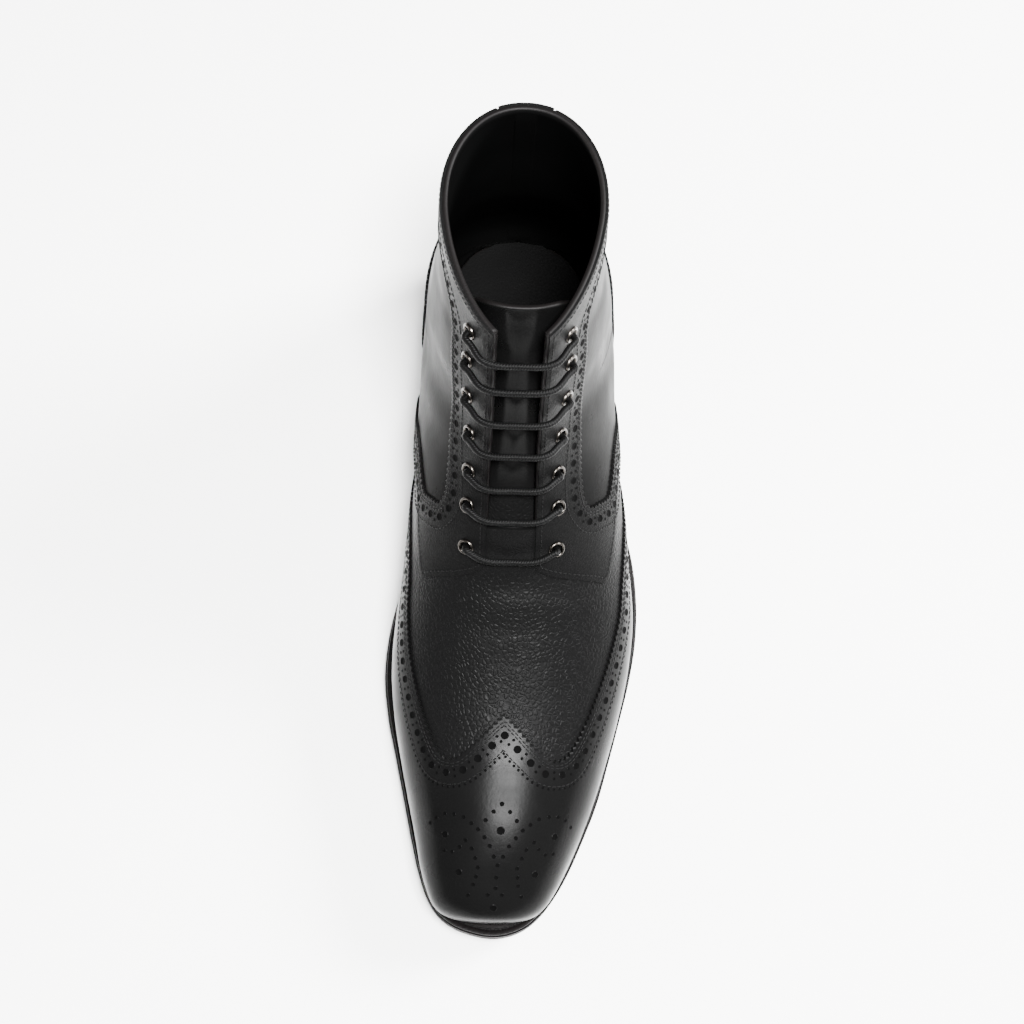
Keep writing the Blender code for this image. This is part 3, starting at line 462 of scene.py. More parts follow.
# Creases of the worn leather: station, angle, half width in stations, half length in degrees, depth
CREASES = np.array([
    (10.6, 90.0, 0.30, 38.0, -0.00035), (11.25, 84.0, 0.22, 30.0, 0.00030),
    (9.9, 96.0, 0.26, 34.0, -0.00025), (15.2, 20.0, 0.60, 24.0, -0.00045),
    (15.4, 160.0, 0.60, 24.0, -0.00045), (16.6, 8.0, 0.50, 20.0, 0.00040),
    (17.8, -30.0, 0.55, 22.0, -0.00045), (17.6, 212.0, 0.55, 22.0, -0.00040),
    (20.2, -60.0, 0.50, 24.0, -0.00035), (21.4, 5.0, 0.60, 26.0, -0.00040),
    (21.6, 176.0, 0.60, 26.0, -0.00040), (23.0, -50.0, 0.55, 30.0, 0.00030),
])


def bed(along):
    """Height of the top of the welt, where the upper stands."""
    return ground(along) + SOLE_STACK


def section_rows(station):
    """Sections in metres at any stations, between the rows of the table."""
    lengths = [SOLE_LENGTH, SHAFT_HEIGHT, SOLE_LENGTH, SHAFT_HEIGHT]
    table = SECTIONS * np.array(lengths + [BALL_WIDTH] * 3 + [1] * 4)
    table[:, 1] += bed(table[:, 0])
    table[:, 3] += bed(table[:, 2])
    return smooth(np.arange(len(SECTIONS), dtype=float), table, station)


def section_points(rows, angle, lift):
    """Superellipse sections in tilted planes: x = half * r * cos, height = reach * r * sin."""
    low_y, low_z, top_y, top_z, half, body, ridge, middle, n_low, n_top, lean = np.moveaxis(rows, -1, 0)
    turn = np.radians(angle)
    c = np.cos(turn)
    v = np.sin(turn)
    blend = np.clip(v * 2.5 + 0.5, 0, 1)
    blend = blend * blend * (3 - 2 * blend)
    n = n_low + (n_top - n_low) * blend
    radius = (np.abs(c) ** n + np.abs(v) ** n) ** (-1 / n)
    length = np.hypot(top_y - low_y, top_z - low_z)
    tilt_y = (top_y - low_y) / length
    tilt_z = (top_z - low_z) / length
    reach = np.where(v > 0, (1 - middle) * length + lift, middle * length + lift)
    height = middle * length + reach * radius * v
    x = body + (ridge - body) * np.clip(v, 0, 1) ** 2 + (half + lift) * radius * c
    along = low_y + tilt_y * height + lean * lift
    return np.stack([x, SOLE_LENGTH / 2 - along, low_z + tilt_z * height], axis=-1)


def creases(station, angle):
    """Sum of soft bells, each a trough or ridge of its own depth, fading over its half width and length."""
    around = (angle[..., None] - CREASES[:, 1] + 180) % 360 - 180
    lengthwise = (station[..., None] - CREASES[:, 0]) / CREASES[:, 2]
    bell = np.exp(-lengthwise**2 - (around / CREASES[:, 3]) ** 2)
    return (bell * CREASES[:, 4]).sum(axis=-1)


def skin(station, angle, lift=0.0):
    """Points of the upper's surface at stations and angles, lifted off it or sunk below it."""
    station, angle = np.broadcast_arrays(np.asarray(station, float), np.asarray(angle, float))
    return section_points(section_rows(station), angle, lift + creases(station, angle))


def throat_angle(station, gap):
    """Angle of the point that lies a given distance beside the ridge, by halving."""
    station = np.asarray(station, float)
    ridge = section_rows(station)[..., 6]
    low = np.full(station.shape, 40.0)
    high = np.full(station.shape, 90.0)
    for _ in range(30):
        middle = (low + high) / 2
        wide = skin(station, middle)[..., 0] - ridge > gap
        low = np.where(wide, middle, low)
        high = np.where(wide, high, middle)
    return low


floor_knots = np.linspace(0, COLLAR, 501)
floor_low = np.full(floor_knots.shape, -90.0)
floor_high = np.zeros(floor_knots.shape)
for _ in range(25):
    floor_middle = (floor_low + floor_high) / 2
    floor_point = skin(floor_knots, floor_middle)
    sunk = floor_point[:, 2] < bed(SOLE_LENGTH / 2 - floor_point[:, 1]) + GAP
    floor_low = np.where(sunk, floor_middle, floor_low)
    floor_high = np.where(sunk, floor_high, floor_middle)


def floor_angle(station):
    """Angle at which the skin meets the welt, or -90 where it is closed above the sole."""
    return np.interp(station, floor_knots, floor_high)


def swing(station, share):
    """Angle from a share of the way from the ridge, 0, down to the welt: 1 outer side, -1 inner side."""
    return 90 - (90 - floor_angle(station)) * share


# Frame of facing, collar band and front band: outer station and angle, inner station and angle
FRAME_BAND = np.array([
    (25.00, -69.0, 24.19, -69.0), (25.00, -40.0, 24.20, -40.0), (25.00, -18.0, 24.17, -18.0),
    (25.00, 6.0, 23.95, 5.0), (25.00, 28.0, 23.55, 21.0), (25.00, 50.0, 22.85, 31.5),
    (25.00, 90.0, 22.20, 35.0), (23.80, 90.0, 21.70, 37.5), (22.20, 90.0, 20.80, 39.5),
    (20.30, 90.0, 20.00, 41.5), (18.30, 90.0, 18.90, 44.5), (16.60, 90.0, 17.60, 47.0),
    (15.20, 90.0, 16.20, 48.5), (14.20, 90.0, 15.00, 49.5), (13.30, 90.0, 14.10, 49.0),
    (12.60, 90.0, 13.75, 46.0), (12.12, 76.0, 13.68, 43.5), (11.96, 65.5, 13.68, 41.5),
    (11.88, 48.0, 13.70, 39.5), (11.85, 38.5, 13.72, 37.0), (12.40, 31.5, 13.73, 32.5),
    (12.93, 25.7, 13.80, 28.0), (13.61, 19.5, 14.10, 23.5), (13.99, 13.5, 14.50, 18.0),
    (14.34, 6.0, 14.75, 12.5), (14.50, -1.5, 14.93, 5.0), (14.60, -14.0, 15.05, -8.0),
    (14.50, -33.5, 15.00, -26.0), (14.35, -50.0, 14.90, -42.0),
])
CROWN = 8
FLANK = 60
stations = np.concatenate([np.linspace(0, 7, 30)[:-1], np.linspace(7, THROAT_FOOT, 56),
                           np.linspace(THROAT_FOOT, COLLAR, 104)[1:]])
throat_row = 29 + 55
brink = throat_angle(stations, THROAT_GAP)
foot = floor_angle(stations)
crown_part = 90 + (brink - 90)[:, None] * (np.arange(CROWN) / CROWN)
flank_part = brink[:, None] + (foot - brink)[:, None] * np.linspace(0, 1, FLANK + 1)
half = np.concatenate([crown_part, flank_part], axis=1)
around = np.concatenate([half, 180 - half[:, ::-1]], axis=1)
columns = around.shape[1]
upper_faces = grid_quads(len(stations), columns)
row, column = np.divmod(upper_faces[:, 0], columns)
shut = column == columns // 2 - 1
open_throat = (row >= throat_row) & ((column < CROWN) | (column >= columns - 1 - CROWN))
kept = ~(shut | open_throat)
upper_faces = upper_faces[kept]
seam_rows = FRAME_BAND[15:, [0, 2]].mean(axis=1)
seam_turn = FRAME_BAND[15:, [1, 3]].mean(axis=1)
fold = np.abs((around[row, column] + 90) % 360 - 180)
vamp = stations[row] < np.interp(90 - fold, seam_turn[::-1], seam_rows[::-1])

# Box calf, glazed and polished: deep black with a soft, even shine and a barely visible pore. Finished
# leather has an IOR near 1.5. All the leathers have less, to keep the white floor out of the black.
calf = new_finish("calf_box_black", "#070707", 0.29, IOR=1.085)
roughen(calf, 0.0016, 0.00004, 0.07)
# Box calf, glazed but less polished, for the windows of the quarters
quarter_calf = new_finish("calf_quarter_satin", "#060606", 0.32, IOR=1.045)
roughen(quarter_calf, 0.0016, 0.00004, 0.06)
# Cut edge of calf, inked: dull black
cut_edge = new_finish("calf_cut_edge", "#070606", 0.5, IOR=1.15)
roughen(cut_edge, 0.0006, 0.00005)
# Distance over which the rows of grain wander, and by how much
GRAIN_WANDER = 0.0025
GRAIN_SHIFT = 0.0006


def pebble(name, colour, cell, depth, roughness, index):
    """Embossed grain: rounded cells of one size with creases between them, and a fine pore over all."""
    material = new_finish(name, colour, roughness, IOR=index)
    pore = roughen(material, 0.0007, 0.00003, 0.05)
    tree = material.node_tree
    place = add_node(tree, "ShaderNodeTexCoord", {})
    drift = add_node(tree, "ShaderNodeTexNoise",
                     {"Vector": place.outputs["Object"], "Scale": 1 / GRAIN_WANDER, "Detail": 1.0})
    moved = add_node(tree, "ShaderNodeVectorMath",
                     {0: drift.outputs["Color"], 1: (GRAIN_SHIFT, GRAIN_SHIFT, GRAIN_SHIFT)},
                     operation="MULTIPLY")
    bent = add_node(tree, "ShaderNodeVectorMath", {0: place.outputs["Object"], 1: moved.outputs["Vector"]})
    cells = add_node(tree, "ShaderNodeTexVoronoi", {"Vector": bent.outputs["Vector"], "Scale": 1 / cell},
                     feature="DISTANCE_TO_EDGE")
    rounded = add_node(tree, "ShaderNodeMapRange",
                       {"Value": cells.outputs["Distance"], "From Min": 0.0, "From Max": 0.28},
                       interpolation_type="SMOOTHERSTEP")
    bump = add_node(tree, "ShaderNodeBump",
                    {"Height": rounded.outputs["Result"], "Distance": depth, "Strength": 1.0,
                     "Normal": pore.outputs["Normal"]})
    tree.links.new(bump.outputs["Normal"], tree.nodes["Principled BSDF"].inputs["Normal"])
    return material


# Calf embossed with a scotch grain: small round pebbles that break the shine into points. The grain
# of the facings is finer and flatter.
scotch_grain = pebble("calf_scotch_grain", "#080808", 0.0018, 0.00011, 0.37, 1.08)
fine_grain = pebble("calf_fine_grain", "#080808", 0.0010, 0.00007, 0.36, 1.065)
upper_points = skin(stations[:, None], around)
upper = add_piece("upper_skin", upper_points, upper_faces, [quarter_calf, scotch_grain, lining, cut_edge],
                  slots=vamp[kept].astype(int),
                  facing=skin(stations[:, None], around, 0.001) - upper_points, weld=2e-5)
wall = upper.modifiers.new("wall", "SOLIDIFY")
wall.thickness = WALL
wall.offset = -1
wall.material_offset = 2
wall.material_offset_rim = 3
settle(upper, "smooth_leather", "upper")

# Overlays. Counter, wing cap and facings are cut from 1.2 mm calf, pinked along the inner edge,
# punched in a band and sewn down on the upper with rows of fine stitches.
# Share of the leather's thickness that is left once it is skived, lasted and sewn down
SKIVED = 0.6
SHEET_LIFT = GAP + SKIVED * OVERLAY
# Zigzag of the edge, large holes and pin holes, distances from the edge to the rows
PINK_PITCH = 0.0024
PINK_DEPTH = 0.0011
HOLE_PITCH = 0.0073
HOLE_RADIUS = 0.00130
PIN_RADIUS = 0.00052
BAND_HOLES = 0.0056
BAND_SEAM = 0.0100
EDGE_SEAM = 0.0019
TWIN_SEAM = 0.0011
PIN_APART = 0.00125
CUP_DEPTH = 0.0011
# Punched hole, seen into: painted shade, a near-black matt colour for the shade deep in the hole
hole_shade = new_finish("calf_hole_painted_shade", "#030303", 0.8, IOR=1.06)
roughen(hole_shade, 0.0008, 0.00005)


def skin_frame(station, angle, lift):
    """Point of the skin with its outward normal and its steps for one station and one degree."""
    high = np.minimum(station + 0.02, COLLAR)
    low = np.maximum(station - 0.02, 0.0)
    by_station = (skin(high, angle, lift) - skin(low, angle, lift)) / (high - low)[..., None]
    by_angle = skin(station, angle + 0.5, lift) - skin(station, angle - 0.5, lift)
    normal = np.cross(by_angle, by_station)
    normal /= np.linalg.norm(normal, axis=-1)[..., None]
    point = skin(station, angle, lift)
    outward = ((skin(station, angle, lift + 0.001) - point) * normal).sum(axis=-1)
    return point, normal * np.sign(outward)[..., None], by_station, by_angle


def step_over(station, angle, move, lift=SHEET_LIFT):
    """Station and angle after a small move over the skin, given as vectors in space.

    The move is split into steps of station and angle by least squares over the tangent plane."""
    point, normal, by_s, by_a = skin_frame(station, angle, lift)
    ss = (by_s * by_s).sum(-1)
    sa = (by_s * by_a).sum(-1)
    aa = (by_a * by_a).sum(-1)
    ms = (move * by_s).sum(-1)
    ma = (move * by_a).sum(-1)
    det = ss * aa - sa * sa
    return station + (aa * ms - sa * ma) / det, angle + (ss * ma - sa * ms) / det


def spaced(station, angle, step, lift=SHEET_LIFT, even=1):
    """A line on the skin with its points a step apart, their number a multiple of even, plus one."""
    line = skin(station, angle, lift)
    reach = np.concatenate([[0], np.cumsum(np.linalg.norm(np.diff(line, axis=0), axis=1))])
    count = max(even, int(round(reach[-1] / step / even)) * even)
    at = np.linspace(0, reach[-1], count + 1)
    return np.interp(at, reach, station), np.interp(at, reach, angle)


def beside(station, angle, distance, lift=SHEET_LIFT):
    """A line on the skin moved sideways, to its left as seen from outside, without its crossed-over parts."""
    point, normal, _, _ = skin_frame(station, angle, lift)
    run = np.gradient(point, axis=0)
    side = np.cross(normal, run)
    side /= np.maximum(np.linalg.norm(side, axis=-1), 1e-12)[:, None]
    moves = max(1, int(math.ceil(abs(distance) / 0.002)))
    s, a = station, angle
    for _ in range(moves):
        s, a = step_over(s, a, side * distance / moves, lift)
    moved = skin(s, a, lift)
    nearest = np.full(len(moved), 1.0)
    for block in np.array_split(point, 8):
        nearest = np.minimum(nearest, np.linalg.norm(moved[:, None] - block[None], axis=-1).min(axis=1))
    good = nearest > abs(distance) * 0.955
    return s[good], a[good]


def stitch_line(name, lines, lift=SHEET_LIFT, step=0.0021, length=STITCH_LENGTH, width=STITCH_WIDTH):
    """Stitches along lines on the skin, a step apart, with none where a line jumps or dips below the welt."""
    places, runs, ups = [], [], []
    for station, angle in lines:
        s, a = spaced(station, angle, step, lift)
        point, normal, _, _ = skin_frame(s, a, lift)
        run = np.gradient(point, axis=0)
        above = (point[:, 2] > bed(SOLE_LENGTH / 2 - point[:, 1]) + 0.0006) | (s > 18.5)
        keep = above & (np.linalg.norm(run, axis=1) < step * 1.6)
        places.append(point[keep])
        runs.append(run[keep])
        ups.append(normal[keep])
    return sew(name, np.concatenate(places), np.concatenate(runs), np.concatenate(ups), length, width)


def pinked(station, angle, side):
    """An edge line cut to a zigzag: every fourth point out, the ones between them halfway."""
    s, a = spaced(station, angle, PINK_PITCH / 4, even=8)
    point, normal, _, _ = skin_frame(s, a, SHEET_LIFT)
    wide = np.gradient(point, axis=0)
    across = np.cross(normal, wide)
    across /= np.linalg.norm(across, axis=-1)[:, None]
    tooth = np.abs((np.arange(len(s)) % 4) - 2) / 2 - 0.5
    return step_over(s, a, across * (side * PINK_DEPTH * tooth)[:, None])


def punch(points, normals, holes):
    """Press round holes into a dense grid: points near a rim go onto it, those inside go down."""
    points = points.copy()
    pressed = np.zeros(len(points), bool)
    for centre, radius in holes:
        away = points - centre
        distance = np.linalg.norm(away, axis=1)
        rim = (distance > 0.55 * radius) & (distance < 1.5 * radius)
        inside = distance <= 0.55 * radius
        nearest = int(np.argmin(distance))
        if distance[nearest] > 2.5 * radius:
            continue
        points[rim] = centre + away[rim] * (radius / distance[rim])[:, None]
        inside[nearest] = True
        points[inside] = centre + away[inside] * 1.5 - normals[inside] * CUP_DEPTH
        pressed |= inside
    return points, pressed


def hole_row(station, angle):
    """Places of the large holes along a band's middle line, and of the pin holes in pairs between them."""
    s, a = spaced(station, angle, HOLE_PITCH / 2, even=2)
    point, normal, _, _ = skin_frame(s, a, SHEET_LIFT)
    gaps = np.linalg.norm(np.gradient(point, axis=0), axis=1) < HOLE_PITCH
    above = (point[:, 2] > bed(SOLE_LENGTH / 2 - point[:, 1]) + 0.003) | (s > 18.5)
    turn = (np.arange(len(s)) - len(s) // 2) % 2
    odd = (turn == 0) & gaps & above
    even = (turn == 1) & gaps & above
    side = np.cross(normal, np.gradient(point, axis=0))
    side /= np.linalg.norm(side, axis=-1)[:, None]
    pins = [step_over(s[even], a[even], side[even] * shift) for shift in (PIN_APART, -PIN_APART)]
    return (s[odd], a[odd]), (np.concatenate([p[0] for p in pins]), np.concatenate([p[1] for p in pins]))


def pin_holes(name, station, angle, radius, sides=10, lift=SHEET_LIFT):
    """Small punched holes: a rolled rim around a dish coloured as painted shade for the hollow, ten-sided
    where they are tiny.
    """
    point, normal, by_s, _ = skin_frame(station, angle, lift)
    east = by_s / np.linalg.norm(by_s, axis=-1)[:, None]
    north = np.cross(normal, east)
    radius = np.broadcast_to(radius, station.shape)
    form = np.array([(1.30, -0.10), (1.12, 0.12), (0.95, 0.10), (0.80, 0.05), (0.0, 0.04)])
    dishes = []
    for i, size in enumerate(radius):
        one = np.s_[i:i + 1]
        dishes.append(turned(form * size, point[one], east[one], north[one], normal[one], sides))
    quads = copies(len(point), len(form), sides)
    dark = ((quads[:, 0] // sides) % len(form) >= 1).astype(int)
    return add_piece(name, np.concatenate(dishes), quads, [calf, hole_shade], slots=dark,
                     facing=np.repeat(normal, sides * len(form), axis=0), weld=0.0, sharp=80)


def band_seams(station, angle, way):
    """The three rows of stitches that follow an edge: a close pair, and one along the band's far side."""
    return [beside(station, angle, way * inset) for inset in (EDGE_SEAM, EDGE_SEAM + TWIN_SEAM, BAND_SEAM)]


BAND_STEPS = np.concatenate([[0, 0, 0.0003, 0.0008], np.arange(0.00135, 0.0118, 0.00055)])


def sheet_grid(edge_s, edge_v, keel_s, keel_v, rest):
    """Grid from an edge towards a keel line: a cut edge, close rows over the band, then wider rows.

    Works in stations and swing shares, with a row on the straight line between them for each step."""
    start = skin(edge_s, swing(edge_s, edge_v), SHEET_LIFT)
    end = skin(keel_s, swing(keel_s, keel_v), SHEET_LIFT)
    long = np.maximum(np.linalg.norm(end - start, axis=1), 1e-5)
    total = len(BAND_STEPS) + rest
    near = np.minimum(BAND_STEPS[:, None] / long[None], (np.arange(len(BAND_STEPS)) / total)[:, None])
    last = near[-1:]
    far = last + (1 - last) * (np.arange(1, rest + 1) / rest)[:, None]
    share = np.concatenate([near, far])
    s = edge_s + (keel_s - edge_s) * share
    v = edge_v + (keel_v - edge_v) * share
    lift = np.full(s.shape, SHEET_LIFT)
    lift[0] = -0.0002
    lift[1] = SHEET_LIFT - 0.00035
    return s, v, lift


def lay_sheet(name, s, v, lift, holes, finishes, faces=None):
    """A sheet on the skin from its grid, with the holes for the eyelets punched and their cups coloured as
    painted shade.
    """
    angle = swing(s, v)
    points = skin(s, angle, lift).reshape(-1, 3)
    out = (skin(s, angle, lift + 0.001).reshape(-1, 3) - points)
    out /= np.linalg.norm(out, axis=1)[:, None]
    points, pressed = punch(points, out, holes)
    faces = grid_quads(*s.shape).tolist() if faces is None else faces
    dark = np.array([any(pressed[i] for i in f) for f in faces], int)
    return add_piece(name, points, faces, finishes, slots=dark, facing=out, weld=1e-5)


def as_share(station, angle):
    """Swing share of an angle: its part of the way from the ridge down to the welt."""
    return (90 - angle) / (90 - floor_angle(station))


# Counter. Pebbled calf around the heel, its pinked front edge curving up to the back seam.
# Its edge on the outer side: station and angle
COUNTER_EDGE = np.array([
    (14.90, -55.0), (15.28, -39.0), (15.95, -20.0), (16.36, -13.5), (17.37, -3.0), (18.33, -5.5),
    (19.50, -16.5), (20.63, -32.5), (21.60, -62.0), (21.90, -78.0), (21.95, -90.0),
])
knots = np.arange(len(COUNTER_EDGE), dtype=float)
dense = smooth(knots, COUNTER_EDGE, np.linspace(0, knots[-1], 900))
dense = dense[dense[:, 1] > floor_angle(dense[:, 0]) + 0.3]
edge_line = (np.concatenate([dense[:, 0], dense[-2::-1, 0]]),
             np.concatenate([dense[:, 1], -180 - dense[-2::-1, 1]]))
cut_s, cut_a = pinked(*edge_line, 1.0)
inner_half = cut_a < -90
cut_v = np.where(inner_half, -as_share(cut_s, -180 - cut_a), as_share(cut_s, cut_a))
keel_v = np.where(np.arange(len(cut_s)) <= len(cut_s) // 2, 1.0, -1.0)
grid = sheet_grid(cut_s, np.clip(cut_v, -1, 1), np.minimum(cut_s, 21.95), keel_v, 16)
band = beside(*edge_line, -BAND_HOLES)
large, pins = hole_row(*band)
counter = lay_sheet("counter_sheet", *grid, [], [scotch_grain, hole_shade])
settle(counter, "grain_leather", "counter")
settle(pin_holes("counter_holes", *large, HOLE_RADIUS, 20), "grain_leather")
settle(pin_holes("counter_pins", *pins, PIN_RADIUS), "grain_leather")
settle(stitch_line("counter_seams", band_seams(*edge_line, -1.0)), "grain_leather")

# Wing cap. Polished calf over the toe, with a point on the ridge and wings back to the waist,
# pinked and punched along its edge and with a medallion of punched holes on the toe.
# Its edge on the outer side: angle and station
WING_EDGE = np.array([
    (-90.0, 13.66), (-43.0, 13.66), (-25.5, 13.78), (-10.0, 13.60), (0.0, 13.34), (6.5, 13.00), (17.5, 12.35),
    (26.5, 11.58), (31.5, 10.95), (38.0, 10.05), (42.5, 9.28), (46.5, 8.62), (51.5, 8.00), (61.0, 7.68),
    (73.0, 7.97), (81.5, 8.32), (90.0, 8.68),
])
turn = np.linspace(-90, 90, 1400)
wing_s = smooth(WING_EDGE[:, 0], WING_EDGE[:, 1:], turn)[:, 0]
seen = turn > floor_angle(wing_s) + 0.3
edge_line = (np.concatenate([wing_s[seen], wing_s[seen][-2::-1]]),
             np.concatenate([turn[seen], 180 - turn[seen][-2::-1]]))
cut_s, cut_a = pinked(*edge_line, 1.0)
middle = len(cut_s) // 2
cut_v = (90 - cut_a) / (90 - floor_angle(cut_s))
KEEL_SHARE = 0.74
keel_stations = np.linspace(cut_s[0], 0, 300)
keel_points = skin(keel_stations, swing(keel_stations, 1.0), SHEET_LIFT)
keel_reach = np.concatenate([[0], np.cumsum(np.linalg.norm(np.diff(keel_points, axis=0), axis=1))])
part = np.linspace(0, 1, middle + 1)
keel_s = np.interp(np.minimum(part / KEEL_SHARE, 1) * keel_reach[-1], keel_reach, keel_stations)
keel_v = np.clip((1 - part) / (1 - KEEL_SHARE), 0, 1)
keel_s = np.concatenate([keel_s, keel_s[-2::-1]])
keel_v = np.concatenate([keel_v, -keel_v[-2::-1]])
REST = 112
s, v, lift = sheet_grid(cut_s, cut_v, keel_s, keel_v, REST)
v = np.clip(v, -1, 1)
dense_rows = len(BAND_STEPS)
wide = len(cut_s)
few = (wide + 1) // 2
thin = np.s_[dense_rows:, ::2]
j = np.arange(few - 1)
joint_a = (dense_rows - 1) * wide
joint_b = dense_rows * wide
fans = np.stack([joint_a + 2 * j, joint_a + 2 * j + 1, joint_a + 2 * j + 2,
                 joint_b + j + 1, joint_b + j], axis=-1)
wing_faces = (grid_quads(dense_rows, wide).tolist() + fans.tolist()
              + grid_quads(REST, few, start=joint_b).tolist())
s = np.concatenate([s[:dense_rows].ravel(), s[thin].ravel()])
v = np.concatenate([v[:dense_rows].ravel(), v[thin].ravel()])
lift = np.concatenate([lift[:dense_rows].ravel(), lift[thin].ravel()])
band = beside(*edge_line, BAND_HOLES)
large, pins = hole_row(*band)
# Medallion: side as a share of the ball width from the toe's middle, along as a share of the length,
# size as a share of a large hole. Holes off the middle have a twin on the other side. The places were
# read off the photograph, worked back onto the toe by a camera calculation and then rounded.
MEDALLION = np.array([
    (0.000, 0.840, 0.60), (0.030, 0.850, 0.55), (0.056, 0.860, 0.55), (0.000, 0.873, 1.00),
    (0.083, 0.872, 0.55), (0.109, 0.864, 0.55), (0.140, 0.857, 0.55), (0.176, 0.853, 0.55),
    (0.210, 0.852, 0.55), (0.239, 0.855, 0.55), (0.262, 0.861, 0.55), (0.203, 0.877, 0.90),
    (0.058, 0.882, 0.55), (0.035, 0.892, 0.55), (0.127, 0.886, 0.55), (0.146, 0.894, 0.55),
    (0.101, 0.896, 0.55), (0.173, 0.900, 0.55), (0.201, 0.898, 0.55), (0.086, 0.907, 0.55),
    (0.016, 0.905, 0.55), (0.000, 0.916, 0.55), (0.072, 0.919, 0.55), (0.141, 0.925, 0.90),
    (0.000, 0.931, 0.55), (0.077, 0.930, 0.55), (0.084, 0.940, 0.55), (0.000, 0.944, 0.55),
    (0.026, 0.952, 0.55), (0.099, 0.953, 0.55), (0.000, 0.968, 0.95),
])
MEDALLION_SHIFT = 0.010
# Stations and angles that these places have on the toe, found by a grid search over the skin
search_s = np.linspace(1.2, 9.5, 300)
search_a = np.linspace(20, 160, 281)
search = skin(search_s[:, None], search_a[None, :], SHEET_LIFT)
ridge_side = np.interp(MEDALLION[:, 1], SECTIONS[::-1, 2], SECTIONS[::-1, 6])
toe_middle = (MEDALLION_SHIFT + ridge_side) * BALL_WIDTH
dots_s, dots_a, dots_r = [], [], []
for (side, along, size), centre_x in zip(MEDALLION, toe_middle):
    for way in ((1,) if side == 0 else (1, -1)):
        miss = np.hypot(search[..., 0] - (centre_x + way * side * BALL_WIDTH),
                        search[..., 1] - SOLE_LENGTH * (0.5 - along))
        at = np.unravel_index(np.argmin(miss), miss.shape)
        dots_s.append(search_s[at[0]])
        dots_a.append(search_a[at[1]])
        dots_r.append(size * HOLE_RADIUS)
dots_s, dots_a, dots_r = np.array(dots_s), np.array(dots_a), np.array(dots_r)
big = dots_r > 0.8 * HOLE_RADIUS
wing = lay_sheet("wing_cap_sheet", s, v, lift, [], [calf, hole_shade], wing_faces)
settle(wing, "smooth_leather", "wing_cap")
settle(pin_holes("wing_holes", *large, HOLE_RADIUS, 20), "smooth_leather")
settle(pin_holes("wing_pins", *pins, PIN_RADIUS), "smooth_leather")
settle(pin_holes("medallion_holes", dots_s[big], dots_a[big], dots_r[big], 20), "smooth_leather")
settle(pin_holes("medallion_pins", dots_s[~big], dots_a[~big], dots_r[~big]), "smooth_leather")
settle(stitch_line("wing_seams", band_seams(*edge_line, 1.0)), "smooth_leather")
# The band's lower edge is cut to fine teeth, which read as a row of small notches, drawn as small dishes
# coloured as painted shade.
TEETH_INSET = 0.0110
TOOTH_RADIUS = 0.00048
teeth_s, teeth_a = spaced(*beside(*edge_line, TEETH_INSET), PINK_PITCH)
teeth = skin(teeth_s, teeth_a, SHEET_LIFT)
teeth_seen = teeth[:, 2] > bed(SOLE_LENGTH / 2 - teeth[:, 1]) + 0.002
settle(pin_holes("wing_teeth", teeth_s[teeth_seen], teeth_a[teeth_seen], TOOTH_RADIUS), "smooth_leather")

# Facings. On each side one grained frame runs from the back along the collar, down beside the
# throat with the eyelets, and forward and down over the edge of the vamp.
# Eyelets of the outer side: station and angle
EYELETS = np.array([
    (12.65, 67.0), (13.90, 65.5), (15.15, 65.0), (16.75, 63.0), (18.80, 59.0), (20.90, 55.0), (23.20, 52.5),
])
EYELET_RADIUS = 0.0034
EYELET_HOLE = 0.0021
EYELET_THICK = 0.0007
RIM_SEAM = 0.0021
knots = np.arange(len(FRAME_BAND), dtype=float)
dense = smooth(knots, FRAME_BAND, np.linspace(0, knots[-1], 2400))
dense[:, 1] = np.minimum(dense[:, 1], throat_angle(dense[:, 0], THROAT_GAP))
dense[:, 0] = np.minimum(dense[:, 0], COLLAR)
dense = dense[dense[:, 3] > floor_angle(dense[:, 2]) + 0.3]
inner_line = skin(dense[:, 2], dense[:, 3], SHEET_LIFT)
inner_reach = np.concatenate([[0], np.cumsum(np.linalg.norm(np.diff(inner_line, axis=0), axis=1))])
for name, mirror in (("outer", False), ("inner", True)):
    way = 1.0 if mirror else -1.0
    edge = (dense[:, 2], 180 - dense[:, 3] if mirror else dense[:, 3])
    rim = (dense[:, 0], 180 - dense[:, 1] if mirror else dense[:, 1])
    cut_s, cut_a = pinked(*edge, way)
    at = np.linspace(0, inner_reach[-1], len(cut_s))
    rim_s = np.interp(at, inner_reach, rim[0])
    rim_a = np.interp(at, inner_reach, rim[1])
    s, v, lift = sheet_grid(cut_s, as_share(cut_s, cut_a), rim_s, as_share(rim_s, rim_a), 14)
    s = np.concatenate([s, s[-1:]])
    v = np.concatenate([v, v[-1:]])
    lift = np.concatenate([lift, lift[-1:] * 0 - 0.0002])
    lift[-2] = SHEET_LIFT - 0.00025
    s = np.pad(s, ((0, 0), (1, 1)), mode="edge")
    v = np.clip(np.pad(v, ((0, 0), (1, 1)), mode="edge"), -1, 1)
    lift = np.pad(lift, ((0, 0), (1, 1)), constant_values=-0.0002)
    holes_s, holes_a = EYELETS[:, 0], 180 - EYELETS[:, 1] if mirror else EYELETS[:, 1]
    band = beside(*edge, way * BAND_HOLES)
    large, pins = hole_row(*band)
    punched_holes = [(p, EYELET_HOLE + 0.0003) for p in skin(holes_s, holes_a, SHEET_LIFT)]
    facing = lay_sheet("facing_sheet_" + name, s, v, lift, punched_holes, [fine_grain, hole_shade])
    settle(facing, "grain_leather", "facing_" + name)
    settle(pin_holes("facing_holes_" + name, *large, HOLE_RADIUS, 20), "grain_leather")
    settle(pin_holes("facing_pins_" + name, *pins, PIN_RADIUS), "grain_leather")
    lines = band_seams(*edge, way) + [beside(*rim, -way * RIM_SEAM)]
    settle(stitch_line("facing_seams_" + name, lines), "grain_leather")

